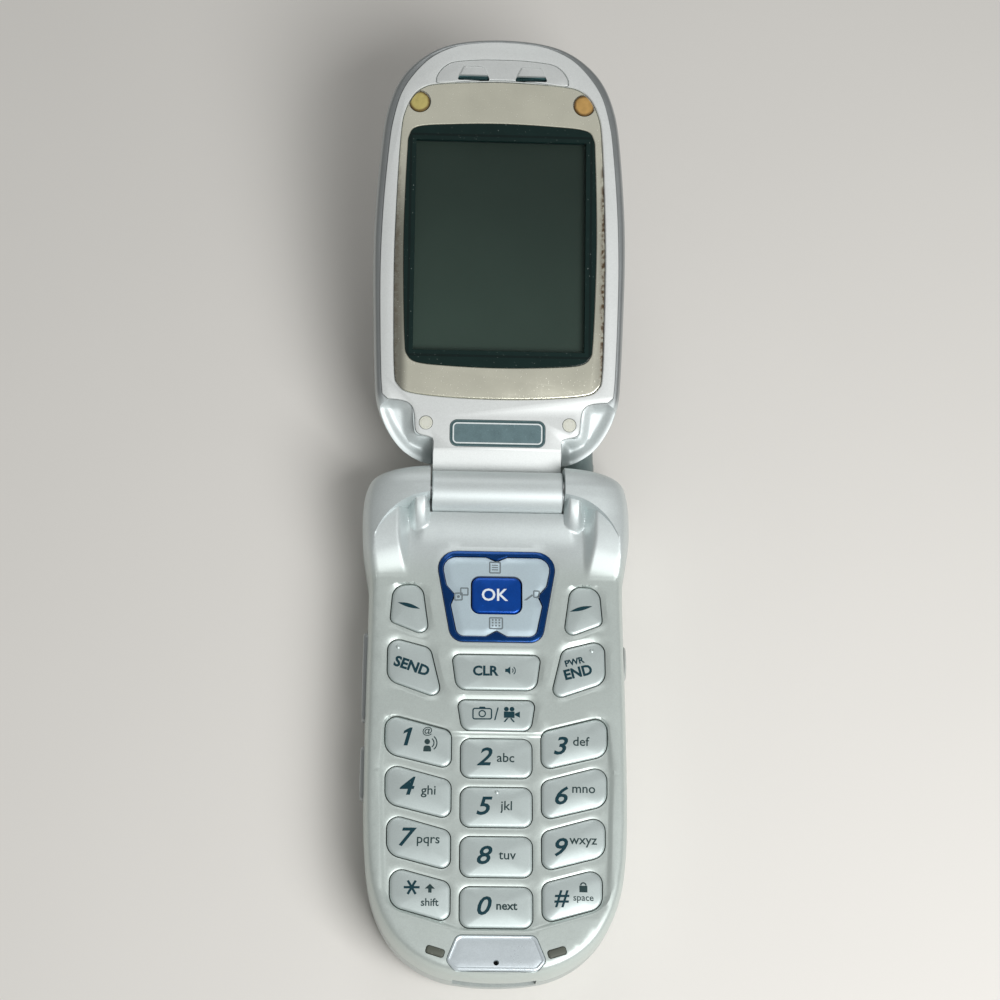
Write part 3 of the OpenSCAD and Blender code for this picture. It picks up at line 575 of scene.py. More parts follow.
class Finish:
    """A material: one shader and the nodes that feed it, in millimetres of the piece's own frame."""

    def __init__(self, name, lid=False, **constants):
        self.material = bpy.data.materials.new(name)
        self.material.use_nodes = True
        self.tree = self.material.node_tree
        self.shader = self.tree.nodes["Principled BSDF"]
        for socket, value in constants.items():
            self.shader.inputs[socket.replace("_", " ")].default_value = value
        seen = self.node("ShaderNodeTexCoord", output="Object")
        self.at = self.node("ShaderNodeMapping", {"vector_type": "TEXTURE"}, {
            "Vector": seen, "Scale": (MM, MM, MM),
            "Location": (0, 0, HINGE_Z * MM if lid else 0),
            "Rotation": (LID_RISE if lid else 0, 0, 0)})

    def node(self, kind, settings=None, inputs=None, output=0):
        """Adds a node with its settings and its sockets' values or links, and gives an output."""
        made = self.tree.nodes.new(kind)
        for name, value in (settings or {}).items():
            setattr(made, name, value)
        for name, value in (inputs or {}).items():
            self.feed(made.inputs[name], value)
        return Value(self, made.outputs[output])

    def feed(self, socket, value):
        """Links a value to a socket, or sets a constant on it."""
        if isinstance(value, Value):
            self.tree.links.new(value.socket, socket)
        else:
            socket.default_value = value

    def math(self, operation, a, b=0.0):
        """A Math node on one or two values."""
        return self.node("ShaderNodeMath", {"operation": operation}, {0: a, 1: b})

    def xyz(self):
        """The place on the piece as three values."""
        made = self.tree.nodes.new("ShaderNodeSeparateXYZ")
        self.feed(made.inputs[0], self.at)
        return [Value(self, socket) for socket in made.outputs]

    def noise(self, scale, detail=2.0, stretch=(1, 1, 1)):
        """Soft random values with that many features to a millimetre."""
        at = self.at
        if stretch != (1, 1, 1):
            at = self.node("ShaderNodeVectorMath", {"operation": "MULTIPLY"}, {0: at, 1: stretch})
        return self.node("ShaderNodeTexNoise", {}, {"Vector": at, "Scale": scale, "Detail": detail})

    def cells(self, scale, output="Distance"):
        """Cells with that many to a millimetre."""
        return self.node("ShaderNodeTexVoronoi", {}, {"Vector": self.at, "Scale": scale}, output)

    def flakes(self, scale):
        """A random value for each flake of a paint."""
        return self.node("ShaderNodeSeparateColor", {}, {0: self.cells(scale, "Color")})

    def rise(self, value, low, high, start=0.0, end=1.0):
        """Goes smoothly from start to end as value goes from low to high."""
        return self.node("ShaderNodeMapRange", {"interpolation_type": "SMOOTHSTEP"}, {
            "Value": value, "From Min": low, "From Max": high, "To Min": start, "To Max": end})

    def mix(self, factor, a, b):
        """Colour a where factor is 0, b where it is 1."""
        return self.node("ShaderNodeMix", {"data_type": "RGBA"}, {0: factor, 6: a, 7: b}, 2)

    def shade(self, colour, factor):
        """A colour made lighter or darker by a factor."""
        colour = colour if isinstance(colour, Value) else tuple(colour)[:3]
        return self.node("ShaderNodeVectorMath", {"operation": "SCALE"},
                         {0: colour, "Scale": factor})

    def bump(self, height, distance, strength=1.0):
        """Feeds the shader's normal from a height; distance is in millimetres."""
        made = self.node("ShaderNodeBump", {}, {
            "Height": height, "Distance": distance * MM, "Strength": strength})
        self.set("Normal", made)

    def set(self, socket, value):
        """Feeds one of the shader's sockets."""
        self.feed(self.shader.inputs[socket], value)


PAINTED_GAP_SHADE = (0.05, 0.058, 0.056, 1)     # painted shade for what is seen down in the gaps round the keys
KEY_FIELD = (19.8, -79.8, -12.7)       # half width, chin end and hinge end of the field of keys whose gaps get painted shade


def rgba(colour):
    """A colour with full alpha."""
    return (*tuple(colour)[:3], 1.0)


def metal_paint(name, colour, lid=False, metallic=0.45, rough=0.36, flake=0.07, gloss=None,
                shade_below=None, corner=None):
    """Silver paint with fine flakes, faint clouds and small nicks.

    gloss is (colour, rough, metallic, low, high): a second tone that takes over from low to high on Y.
    Below the height shade_below, near the keys, the paint is darkened with painted shade down in the
    key gaps.
    corner is (x, y): painted shade darkens the paint outside that x and below that y.
    """
    f = Finish(name, lid, Metallic=metallic, Coat_Roughness=0.28)
    cloud = f.noise(0.09, 3.0)
    grain = f.noise(7.0, 1.0)
    spark = f.flakes(6.0)
    nicks = f.rise(f.noise(1.1, 2.5), 0.77, 0.82)
    tone = rgba(colour)
    rough_here = rough
    if gloss:
        second, smooth_rough, shine, low, high = gloss
        y = f.xyz()[1]
        tone = f.mix(f.rise(y, low, high), tone, rgba(second))
        rough_here = f.rise(y, low, high, rough, smooth_rough)
        f.set("Metallic", f.rise(y, low, high, metallic, shine))
    level = 1.0 - flake + 0.9 * flake * spark + 0.7 * flake * grain + 0.10 * (cloud - 0.5)
    paint = f.shade(tone, level)
    paint = f.mix(nicks * 0.35, paint, (0.30, 0.31, 0.29, 1))
    if shade_below:
        x, y, z = f.xyz()
        # painted shade: darker below that height, down in the key gaps
        gap_shade = f.rise(z, shade_below - 0.12, shade_below + 0.05, 1.0, 0.0)
        half, chin_end, hinge_end = KEY_FIELD
        reach = abs(x) + f.math("MAXIMUM", -75.0 - y, 0.0)
        gap_shade_field = f.rise(reach, half - 0.1, half + 0.1, 1.0, 0.0)
        gap_shade_field = gap_shade_field * f.rise(y, chin_end - 0.1, chin_end + 0.1)
        gap_shade_field = gap_shade_field * f.rise(y, hinge_end - 0.1, hinge_end + 0.1, 1.0, 0.0)
        paint = f.mix(gap_shade * gap_shade_field * 0.7, paint, PAINTED_GAP_SHADE)
    if corner:
        # painted shade in the hollow beside the lid cover's tab
        x, y, z = f.xyz()
        beside = f.rise(abs(x), corner[0], corner[0] + 0.1) * f.rise(
            abs(x), corner[0] + 0.6, corner[0] + 5.0, 1.0, 0.0)
        paint = f.mix(beside * f.rise(y, corner[1] - 3.5, corner[1] + 1.0, 0.72, 0.0), paint,
                      (0.07, 0.10, 0.10, 1))
    f.set("Base Color", paint)
    f.set("Roughness", rough_here + 0.10 * (cloud - 0.5) + 0.04 * (spark - 0.5) + 0.15 * nicks)
    f.set("Coat Weight", 0.25 - 0.2 * nicks)
    f.bump(grain + 0.5 * spark - 2.0 * nicks, 0.002, 0.2)
    return f.material


def mirror_film(name, colour):
    """Mirror foil under a clear skin, with hair scratches and a worn, dirty rim; painted reflections
    darken its left and right sides.
    """
    f = Finish(name, True, Metallic=0.55)
    x, y, _ = f.xyz()
    # painted reflection: darker left and right sides, fading out towards the lid's top end
    reflection_band = f.rise(y, 66.0, 46.0, 0.0, 1.0) * f.rise(y, 15.0, 19.0, 0.3, 1.0)
    scratch_a = f.rise(f.noise(2.2, 1.0, (0.08, 1.0, 1)), 0.66, 0.70)
    scratch_b = f.rise(f.noise(1.7, 1.0, (1.0, 0.06, 1)), 0.67, 0.71)
    smear = f.noise(0.16, 3.0)
    dust = f.rise(f.noise(3.5, 2.0), 0.66, 0.74)
    side = f.rise(abs(x), 18.35, 19.1)
    grime = side * f.rise(f.noise(1.3, 3.0), 0.36, 0.62) * f.rise(x, -19.0, 19.0, 0.45, 1.0)
    painted_reflection = f.rise(x, -18.3, -16.4, 0.35, 1.0) * f.rise(x, 16.5, 18.9, 1.0, 0.75)
    painted_reflection = 1.0 - reflection_band * (1.0 - painted_reflection)
    film = f.shade(colour, painted_reflection * (0.90 + 0.22 * smear))
    film = f.mix(grime, film, (0.085, 0.050, 0.022, 1))
    marks = 0.12 * (scratch_a + scratch_b) + dust
    f.set("Base Color", f.mix(0.25 * marks, film, (0.80, 0.80, 0.76, 1)))
    f.set("Roughness", 0.12 + 0.10 * smear + 0.18 * marks + 0.35 * grime)
    f.bump(marks + 2.0 * grime, 0.004, 0.25)
    return f.material


def past_display(f):
    """How far the place lies outside the lit display."""
    x, y, _ = f.xyz()
    return f.math("MAXIMUM", abs(x) - LCD_SIZE[0] / 2, abs(y - LCD_Y) - LCD_SIZE[1] / 2)


def display_window(name, border):
    """A clear pane printed dark round the display."""
    f = Finish(name, True, IOR=1.46, Roughness=0.06)
    over = past_display(f)
    print_mask = f.rise(over, -0.08, 0.02)
    line = f.rise(abs(over - 0.95), 0.16, 0.30, 1.0, 0.0)
    haze = f.noise(0.35, 4.0)
    dust = f.rise(f.noise(2.6, 3.0), 0.69, 0.74)
    tone = f.shade(border, 0.8 + 0.4 * haze)
    tone = f.mix(line * 0.5, tone, (0.002, 0.005, 0.005, 1))
    f.set("Base Color", f.mix(dust * 0.6, tone, (0.30, 0.34, 0.32, 1)))
    f.set("Alpha", 0.10 + 0.90 * print_mask + 0.25 * dust)
    f.set("Roughness", 0.05 + 0.08 * haze + 0.2 * dust)
    return f.material


def display_panel(name, colour):
    """The display: its unlit cells inside a black frame, with a painted sheen brighter towards the
    hinge end and the left.
    """
    f = Finish(name, True, Specular_IOR_Level=0.35)
    x, y, _ = f.xyz()
    inside = f.rise(past_display(f), -0.05, 0.05, 1.0, 0.0)
    cell = f.math("SINE", x * 28.0) * f.math("SINE", y * 28.0)
    # painted sheen: brighter towards the hinge end and the left
    painted_sheen = f.rise(y, LCD_Y - 20, LCD_Y + 16, 1.55, 0.9) * f.rise(x, -16.0, 16.0, 1.05, 0.88)
    cloud = f.noise(0.08, 3.0)
    lit = f.shade(colour, painted_sheen * (0.92 + 0.16 * cloud + 0.05 * cell))
    f.set("Base Color", f.mix(inside, (0.004, 0.010, 0.009, 1), lit))
    f.set("Roughness", 0.34 + 0.10 * cloud)
    f.bump(cell, 0.004, 0.3)
    return f.material


def satin_key(name, colour):
    """Silver lacquer on a key, rubbed a little where fingers press, with painted shade low on its sides
    in the gap.
    """
    f = Finish(name, Metallic=0.6)
    grain = f.noise(8.0, 1.0)
    spark = f.flakes(7.5)
    worn = f.rise(f.noise(0.22, 3.0), 0.35, 0.75)
    # painted shade low on the key's sides, seen through the gap
    gap_shade = f.rise(f.xyz()[2], DECK_Z - 1.0, DECK_Z - 0.62, 1.0, 0.0)
    lacquer = f.shade(colour, 0.90 + 0.07 * grain + 0.05 * spark + 0.06 * worn)
    f.set("Base Color", f.mix(gap_shade * 0.75, lacquer, PAINTED_GAP_SHADE))
    f.set("Roughness", 0.36 + 0.10 * (1 - worn) + 0.06 * grain)
    f.set("Coat Weight", 0.15 + 0.2 * worn)
    f.bump(grain + 0.5 * spark, 0.005, 0.45)
    return f.material


def tinted_metal(name, colour, metallic=0.75, rough=0.24, coat=0.8, lid=False):
    """Coloured lacquer over bright metal, deeper in places."""
    f = Finish(name, lid, Metallic=metallic, Coat_Roughness=0.06)
    cloud = f.noise(0.5, 3.0)
    spark = f.flakes(9.0)
    rub = f.rise(f.noise(2.2, 4.0), 0.64, 0.74)
    f.set("Base Color", f.shade(colour, 0.78 + 0.30 * cloud + 0.14 * spark + 0.25 * rub))
    f.set("Roughness", rough + 0.14 * (cloud - 0.5) + 0.2 * rub)
    f.set("Coat Weight", coat - 0.3 * rub)
    f.bump(cloud + rub, 0.01, 0.35)
    return f.material


def plug_gold(name, colour):
    """Gold plug face, browned and worn at its rim."""
    f = Finish(name, True, Metallic=0.55)
    x, y, _ = f.xyz()
    off_x = abs(x) - LID_SCREWS[1][0]
    off_y = y - LID_SCREWS[1][1]
    radius = (off_x * off_x + off_y * off_y) ** 0.5
    blotch = f.noise(1.4, 4.0)
    rim = f.rise(radius + 0.5 * (blotch - 0.5), 1.35, 1.8)
    tone = f.shade(colour, 0.82 + 0.36 * blotch)
    f.set("Base Color", f.mix(rim * 0.85, tone, (0.13, 0.07, 0.025, 1)))
    f.set("Roughness", 0.36 + 0.22 * blotch)
    f.bump(blotch, 0.03, 0.5)
    return f.material


def moulded(name, colour, rough=0.5, grain_size=5.0, depth=0.01, lid=False, metallic=0.0):
    """Moulded plastic or rubber with a fine grain and a little dust in it."""
    f = Finish(name, lid, Metallic=metallic)
    grain = f.noise(grain_size, 3.0)
    cloud = f.noise(0.3, 3.0)
    dust = f.rise(f.noise(1.6, 5.0), 0.62, 0.78)
    tone = f.shade(colour, 0.84 + 0.22 * cloud + 0.10 * grain)
    f.set("Base Color", f.mix(0.30 * dust, tone, (0.42, 0.42, 0.38, 1)))
    f.set("Roughness", rough + 0.16 * (cloud - 0.5) + 0.12 * dust)
    f.bump(grain, depth, 0.6)
    return f.material


def ink(name, colour, lid=False):
    """Printed ink, thin in places."""
    f = Finish(name, lid, Specular_IOR_Level=0.3)
    thin = f.noise(2.4, 4.0)
    f.set("Base Color", f.shade(colour, 0.85 + 0.35 * thin))
    f.set("Roughness", 0.42 + 0.2 * thin)
    f.bump(thin, 0.003, 0.4)
    return f.material


def bare_metal(name, colour, lid=False, rough=0.3):
    """Turned or stamped metal with fine brush lines."""
    f = Finish(name, lid, Metallic=1.0)
    lines = f.noise(4.0, 2.0, (6.0, 0.4, 0.4))
    cloud = f.noise(0.4, 3.0)
    f.set("Base Color", f.shade(colour, 0.82 + 0.2 * lines + 0.12 * cloud))
    f.set("Roughness", rough + 0.14 * lines + 0.1 * (cloud - 0.5))
    f.bump(lines, 0.006, 0.4)
    return f.material


def board(name, colour, lid=False):
    """Circuit board: green lacquer with copper tracks under it and tinned pads."""
    f = Finish(name, lid, Coat_Roughness=0.1)
    x, y, _ = f.xyz()
    track = f.rise(f.math("SINE", x * 5.2 + 2.0 * f.noise(0.25, 1.0)), 0.55, 0.7)
    cross = f.rise(f.math("SINE", y * 4.4 + 2.0 * f.noise(0.21, 1.0)), 0.6, 0.75)
    zone = f.rise(f.noise(0.12, 1.0), 0.47, 0.53)
    copper = track * zone + cross * (1 - zone)
    pads = f.rise(f.cells(0.55), 0.16, 0.20, 1.0, 0.0)
    tone = f.mix(copper * 0.5, rgba(colour), (0.06, 0.20, 0.05, 1))
    f.set("Base Color", f.mix(pads, tone, (0.62, 0.60, 0.52, 1)))
    f.set("Metallic", 0.9 * pads)
    f.set("Roughness", 0.35 - 0.1 * pads)
    f.bump(copper + 2.0 * pads, 0.02, 0.6)
    return f.material


def dark_glass(name, colour):
    """Smoked pane that lets a little through."""
    f = Finish(name, True, IOR=1.46)
    haze = f.noise(0.3, 3.0)
    dust = f.rise(f.noise(2.4, 4.0), 0.68, 0.74)
    f.set("Base Color", f.mix(0.5 * dust, f.shade(colour, 0.8 + 0.4 * haze), (0.3, 0.3, 0.3, 1)))
    f.set("Alpha", 0.82 + 0.1 * haze)
    f.set("Roughness", 0.05 + 0.1 * haze + 0.2 * dust)
    return f.material


def floor_finish(name, colour):
    """Plain pale table top."""
    f = Finish(name, Roughness=0.75)
    f.set("Base Color", f.shade(colour, 0.985 + 0.03 * f.noise(0.02, 2.0)))
    f.bump(f.noise(1.5, 3.0), 0.02, 0.2)
    return f.material


# ---- settings ----------------------------------------------------------------------------


def colour_setting(name, description, default):
    """A colour that a user may change."""
    return bpy.props.FloatVectorProperty(
        name=name, description=description, default=default, subtype="COLOR", min=0, max=1)


class PhoneColours(bpy.types.PropertyGroup):
    """Colours of the telephone's finishes"""
    deck: colour_setting("Deck", "Paint of the base's front cover", (0.62, 0.69, 0.66))
    shoulder: colour_setting("Shoulders", "Glossy paint of the hinge shoulders", (0.69, 0.75, 0.75))
    rear: colour_setting("Rear", "Paint of the rear housing", (0.54, 0.59, 0.575))
    cover: colour_setting("Cover", "Paint of the lid's inner cover", (0.76, 0.79, 0.78))
    rim: colour_setting("Rim", "Paint of the lid's housing", (0.42, 0.45, 0.455))
    chin: colour_setting("Chin panel", "Paint of the chin panel", (0.74, 0.82, 0.86))
    # the mirror's beige tint is a painted reflection; the foil itself is chrome
    mirror: colour_setting("Mirror", "Mirror film round the display", (0.86, 0.85, 0.71))
    border: colour_setting("Border", "Print round the display", (0.006, 0.020, 0.018))
    display: colour_setting("Display", "Unlit display", (0.034, 0.056, 0.044))
    key: colour_setting("Keys", "Lacquer of the keys", (0.62, 0.70, 0.69))
    pad: colour_setting("Pad", "Lacquer of the tipping pad", (0.66, 0.80, 0.87))
    ring: colour_setting("Ring", "Blue metal round the pad", (0.001, 0.060, 0.26))
    ok: colour_setting("OK key", "Blue of the middle key", (0.001, 0.085, 0.48))
    plug_left: colour_setting("Left plug", "Gold plug on the left", (0.66, 0.56, 0.20))
    plug_right: colour_setting("Right plug", "Worn gold plug on the right", (0.66, 0.40, 0.13))
    badge: colour_setting("Badge", "Field of the plate below the display", (0.16, 0.25, 0.27))
    ink: colour_setting("Digits", "Ink of the digits", (0.004, 0.040, 0.055))
    small_ink: colour_setting("Letters", "Ink of the letters", (0.022, 0.050, 0.052))
    antenna: colour_setting("Antenna", "Sleeve of the antenna", (0.20, 0.26, 0.26))
    floor: colour_setting("Floor", "Table top", (0.82, 0.80, 0.76))


class PhoneSizes(bpy.types.PropertyGroup):
    """Sizes that a user may change, in millimetres"""
    key_crown: bpy.props.FloatProperty(
        name="Key crown", description="How far a key swells in its middle, in mm", default=0.36,
        min=0.0, max=0.4)
    ink_rise: bpy.props.FloatProperty(
        name="Ink rise", description="How far the ink stands on a key, in mm", default=0.012,
        min=0.0, max=0.05)
    key_size: bpy.props.FloatProperty(
        name="Digit height", description="Height of the digits, in mm", default=3.25, min=2.0,
        max=3.6)
    floor_size: bpy.props.FloatProperty(
        name="Floor", description="Side of the table top, in metres", default=3.0, min=0.5,
        unit="LENGTH")


def colours():
    """The colour settings."""
    return bpy.context.scene.phone_colours


def sizes():
    """The size settings."""
    return bpy.context.scene.phone_sizes


# ---- marks printed on the keys -----------------------------------------------------------

INK_DEPTH = 0.02
DIGIT_WEIGHT = 0.06
LETTER_SIZE = 2.3
WORD_SIZE = 2.0
SEND_TURN = -18.5
END_TURN = 14.0


def diced(part, step=0.5):
    """A mark cut along a grid, so that it bends with what it is laid on."""
    shape = bmesh.new()
    vertices = [shape.verts.new(p) for p in part[0]]
    for face in part[1]:
        shape.faces.new([vertices[i] for i in face])
    for axis in (0, 1):
        normal = Vector((1 - axis, axis, 0))
        low = part[0][:, axis].min() + step
        high = part[0][:, axis].max()
        for at in np.arange(low, high, step):
            everything = [*shape.verts, *shape.edges, *shape.faces]
            bmesh.ops.bisect_plane(shape, geom=everything, dist=1e-5, plane_co=normal * at,
                                   plane_no=normal)
    shape.verts.index_update()
    points = np.array([vertex.co for vertex in shape.verts])
    faces = [[vertex.index for vertex in face.verts] for face in shape.faces]
    shape.free()
    return points, faces


def text_part(text, size, slant=0.22, weight=0.02, turn=0.0, stretch=1.0):
    """Letters as thin solids about the origin, in millimetres."""
    curve = bpy.data.curves.new("text", "FONT")
    curve.body = text
    curve.size = size
    curve.shear = slant
    curve.offset = weight
    curve.extrude = INK_DEPTH
    curve.resolution_u = 3
    made = bpy.data.objects.new("text", curve)
    bpy.context.scene.collection.objects.link(made)
    seen = bpy.context.evaluated_depsgraph_get()
    mesh = bpy.data.meshes.new_from_object(made.evaluated_get(seen))
    bpy.data.objects.remove(made)
    points = np.array([vertex.co for vertex in mesh.vertices])
    points[:, :2] -= (points[:, :2].min(0) + points[:, :2].max(0)) / 2
    part = points * (stretch, 1, 1), [list(face.vertices) for face in mesh.polygons]
    return placed(part, Matrix.Rotation(math.radians(turn), 4, "Z"))


def one():
    """The digit 1, with a flag."""
    outline = np.array([(-0.15, -1.5), (0.45, -1.5), (0.45, 1.5), (0.05, 1.5), (-0.75, 0.95),
                        (-0.75, 0.45), (-0.15, 0.75)])
    outline[:, 0] += 0.27 * outline[:, 1]
    return patch(outline * sizes().key_size / 3)


def star():
    """Three crossed bars."""
    arms = []
    for turn in (0, 60, 120):
        across = math.cos(math.radians(turn))
        up = math.sin(math.radians(turn))
        arm = np.array([(-1.35, -0.2), (1.35, -0.2), (1.35, 0.2), (-1.35, 0.2)])
        arms.append(patch(arm @ np.array([(across, up), (-up, across)])))
    whole = Solid(arms[0])
    for arm in arms[1:]:
        whole += arm
    part = whole.part()
    bpy.data.objects.remove(whole.object)
    return part


def digit(text):
    """A digit as tall as the setting says."""
    if text == "1":
        return one()
    points, faces = text_part(text, 4.0, 0.27, DIGIT_WEIGHT, stretch=1.1)
    return points * (*[sizes().key_size / np.ptp(points[:, 1])] * 2, 1), faces


def sign(text, height, weight=0.05):
    """A sign other than a digit, of a height."""
    points, faces = text_part(text, 4.0, 0.1, weight)
    return points * (*[height / np.ptp(points[:, 1])] * 2, 1), faces


def letters(text):
    """The letters beside a digit."""
    return text_part(text, LETTER_SIZE, 0.02, 0.02)


def word(text, turn=0.0, size=WORD_SIZE):
    """A word on a key; larger words are bolder."""
    return text_part(text, size, 0.0, 0.085 * size - 0.125, turn)


def patch(outline):
    """A printed area."""
    return plate(np.array(outline, float), -INK_DEPTH, INK_DEPTH)


def ring_patch(outline, width):
    """A printed line along a closed outline."""
    outer = inset(outline, -width / 2)
    inner = inset(outline, width / 2)
    loops = [np.column_stack([o, np.full(len(o), z)]) for o, z in (
        (outer, -INK_DEPTH), (outer, INK_DEPTH), (inner, INK_DEPTH), (inner, -INK_DEPTH),
        (outer, -INK_DEPTH))]
    return skin(loops, False, False)


def arc_patch(radius, width, start, end, x=0.0, y=0.0):
    """A printed arc, angles in degrees."""
    turn = np.radians(np.linspace(start, end, 9))
    ray = np.column_stack([np.cos(turn), np.sin(turn)])
    return patch(np.vstack([ray * (radius + width / 2), ray[::-1] * (radius - width / 2)]) + (x, y))


def speaker_icon():
    """A loudspeaker with two sound waves."""
    return [patch([(-0.95, -0.3), (-0.55, -0.3), (-0.05, -0.75), (-0.05, 0.75), (-0.55, 0.3),
                   (-0.95, 0.3)]),
            arc_patch(0.45, 0.16, -50, 50), arc_patch(0.85, 0.16, -50, 50)]


def camera_icon():
    """A still camera."""
    return [ring_patch(box_outline(2.9, 1.7, 0.3), 0.2), ring_patch(circle(0.5, steps=20), 0.18),
            patch([(-0.6, 0.85), (0.6, 0.85), (0.4, 1.15), (-0.4, 1.15)])]


def film_icon():
    """A film camera: body, lens, two reels and two legs."""
    return [patch([(-0.95, -0.55), (0.55, -0.55), (0.55, 0.35), (-0.95, 0.35)]),
            patch([(0.6, -0.15), (1.3, -0.5), (1.3, 0.4), (0.6, 0.05)]),
            patch(circle(0.34, -0.6, 0.72, 16)), patch(circle(0.34, 0.2, 0.72, 16)),
            patch([(-0.55, -0.6), (-0.3, -0.6), (-0.75, -1.15), (-1.0, -1.15)]),
            patch([(-0.1, -0.6), (0.15, -0.6), (0.6, -1.15), (0.35, -1.15)])]


def slash():
    """A leaning stroke."""
    return [patch([(-0.35, -1.0), (-0.15, -1.0), (0.35, 1.0), (0.15, 1.0)])]


def head_icon():
    """A head and shoulders with two sound waves."""
    return [patch(circle(0.38, -0.45, 0.45, 16)),
            patch(rounded([(-1.0, -0.9, 0.1), (0.1, -0.9, 0.1), (0.0, -0.1, 0.3),
                           (-0.9, -0.1, 0.3)], 3)),
            arc_patch(0.75, 0.15, -50, 50, -0.3, 0.3), arc_patch(1.15, 0.15, -50, 50, -0.3, 0.3)]


def arrow_icon():
    """An arrow that points up."""
    return [patch([(-0.25, -0.6), (0.25, -0.6), (0.25, 0.0), (0.75, 0.0), (0.0, 0.75),
                   (-0.75, 0.0), (-0.25, 0.0)])]


def lock_icon():
    """A padlock."""
    return [patch([(-0.55, -0.85), (0.55, -0.85), (0.55, 0.05), (-0.55, 0.05)]),
            arc_patch(0.36, 0.18, 0, 180, 0, 0.1)]


def page_icon():
    """A page with three lines."""
    return [ring_patch(box_outline(1.9, 2.1, 0.15), 0.25),
            *[patch([(-0.55, y), (0.55, y), (0.55, y + 0.18), (-0.55, y + 0.18)])
              for y in (-0.55, -0.1, 0.35)]]


def squares_icon():
    """Two linked squares, one with a dot."""
    return [ring_patch(box_outline(1.3, 1.3, 0.1, -0.45, -0.45), 0.25),
            ring_patch(box_outline(1.3, 1.3, 0.1, 0.6, 0.5), 0.25),
            patch(circle(0.26, -0.45, -0.45, 12))]


def grid_icon():
    """A calendar of nine boxes."""
    return [ring_patch(box_outline(2.3, 2.0, 0.15), 0.25),
            *[patch([(x, y), (x + 0.3, y), (x + 0.3, y + 0.3), (x, y + 0.3)])
              for x in (-0.75, -0.15, 0.45) for y in (-0.6, -0.05, 0.45)]]


def pen_icon():
    """A pen and a frame."""
    return [patch([(-1.4, -0.9), (-0.9, -0.9), (0.3, 0.05), (0.1, 0.3)]),
            ring_patch(box_outline(1.0, 1.2, 0.15, 0.9, 0.35), 0.25)]


def dash(turn):
    """A lens-shaped dash."""
    t = np.linspace(0, 1, 9)
    bow = 0.36 * np.sin(math.pi * t)
    half = np.column_stack([4.2 * t - 2.1, bow])
    return [placed(patch(np.vstack([half[::-1][:-1], (half * (1, -1))[:-1]])),
                   Matrix.Rotation(math.radians(turn), 4, "Z"))]


def digit_marks():
    """The digits' parts for each key."""
    places = {"key_1": ("1", -15.6, -46.0), "key_2": ("2", -2.05, -49.4),
              "key_3": ("3", 11.3, -47.3), "key_4": ("4", -15.4, -54.8),
              "key_5": ("5", -2.05, -58.2), "key_6": ("6", 11.35, -56.2),
              "key_7": ("7", -15.2, -63.8), "key_8": ("8", -2.0, -66.8),
              "key_9": ("9", 11.2, -65.3), "key_0": ("0", -2.0, -75.5)}
    made = {key: [shifted(digit(text), x, y)] for key, (text, x, y) in places.items()}
    made["key_star"] = [shifted(star(), -14.4, -72.5)]
    made["key_hash"] = [shifted(sign("#", 2.9), 11.2, -74.2)]
    return made


def small_marks():
    """The letters, words and icons for each key."""
    def at(x, y, parts, size=1.0):
        return [shifted((points * (size, size, 1), faces), x, y) for points, faces in parts]

    return {
        "key_1": at(-12.1, -45.0, [sign("@", 1.7, 0.02)]) + at(-11.5, -47.5, head_icon(), 1.3),
        "key_2": at(1.6, -49.6, [letters("abc")]), "key_3": at(14.9, -46.5, [letters("def")]),
        "key_4": at(-11.8, -55.8, [letters("ghi")]), "key_5": at(1.7, -58.4, [letters("jkl")]),
        "key_6": at(15.2, -55.2, [letters("mno")]), "key_7": at(-11.7, -64.6, [letters("pqrs")]),
        "key_8": at(1.9, -66.9, [letters("tuv")]), "key_9": at(15.0, -64.5, [letters("wxyz")]),
        "key_star": at(-11.3, -72.7, arrow_icon(), 1.15) + at(-11.3, -75.0, [word("shift", 0, 1.8)]),
        "key_0": at(1.8, -75.6, [word("next")]),
        "key_hash": at(14.9, -72.0, lock_icon(), 1.25) + at(14.9, -74.3, [word("space", 0, 1.6)]),
        "soft_left": at(-15.7, -21.8, dash(-16)), "soft_right": at(15.2, -21.9, dash(14)),
        "send_key": at(-15.0, -33.1, [word("SEND", SEND_TURN, 2.6)]),
        "end_key": (at(13.9, -31.85, [text_part("PWR", 1.6, 0.0, 0.05, END_TURN)])
                    + at(14.5, -33.8, [word("END", END_TURN, 2.55)])),
        "clear_key": at(-1.9, -33.8, [word("CLR", 0, 2.45)]) + at(2.5, -33.7, speaker_icon()),
        "camera_key": (at(-2.5, -41.7, camera_icon(), 1.12) + at(0.0, -41.7, slash(), 1.15)
                       + at(2.5, -41.7, film_icon(), 1.25)),
    }


NIBS = {"key_5": (0.1, -55.75), "send_key": (-17.5, -29.6), "end_key": (17.0, -29.8)}

# ---- shapes of the base ------------------------------------------------------------------


def side_of_base(y):
    """Half width of the base at a place along it."""
    half = BASE_OUTLINE[BASE_OUTLINE[:, 0] > SHOULDER - 12.5]
    half = half[np.argsort(half[:, 1])]
    chin = BASE_OUTLINE[(BASE_OUTLINE[:, 0] >= 0) & (BASE_OUTLINE[:, 1] < -0.9 * BASE_LEN)]
    chin = chin[np.argsort(chin[:, 1])]
    line = np.vstack([chin, half[half[:, 1] > chin[-1, 1]]])
    return np.interp(y, line[:, 1], line[:, 0])


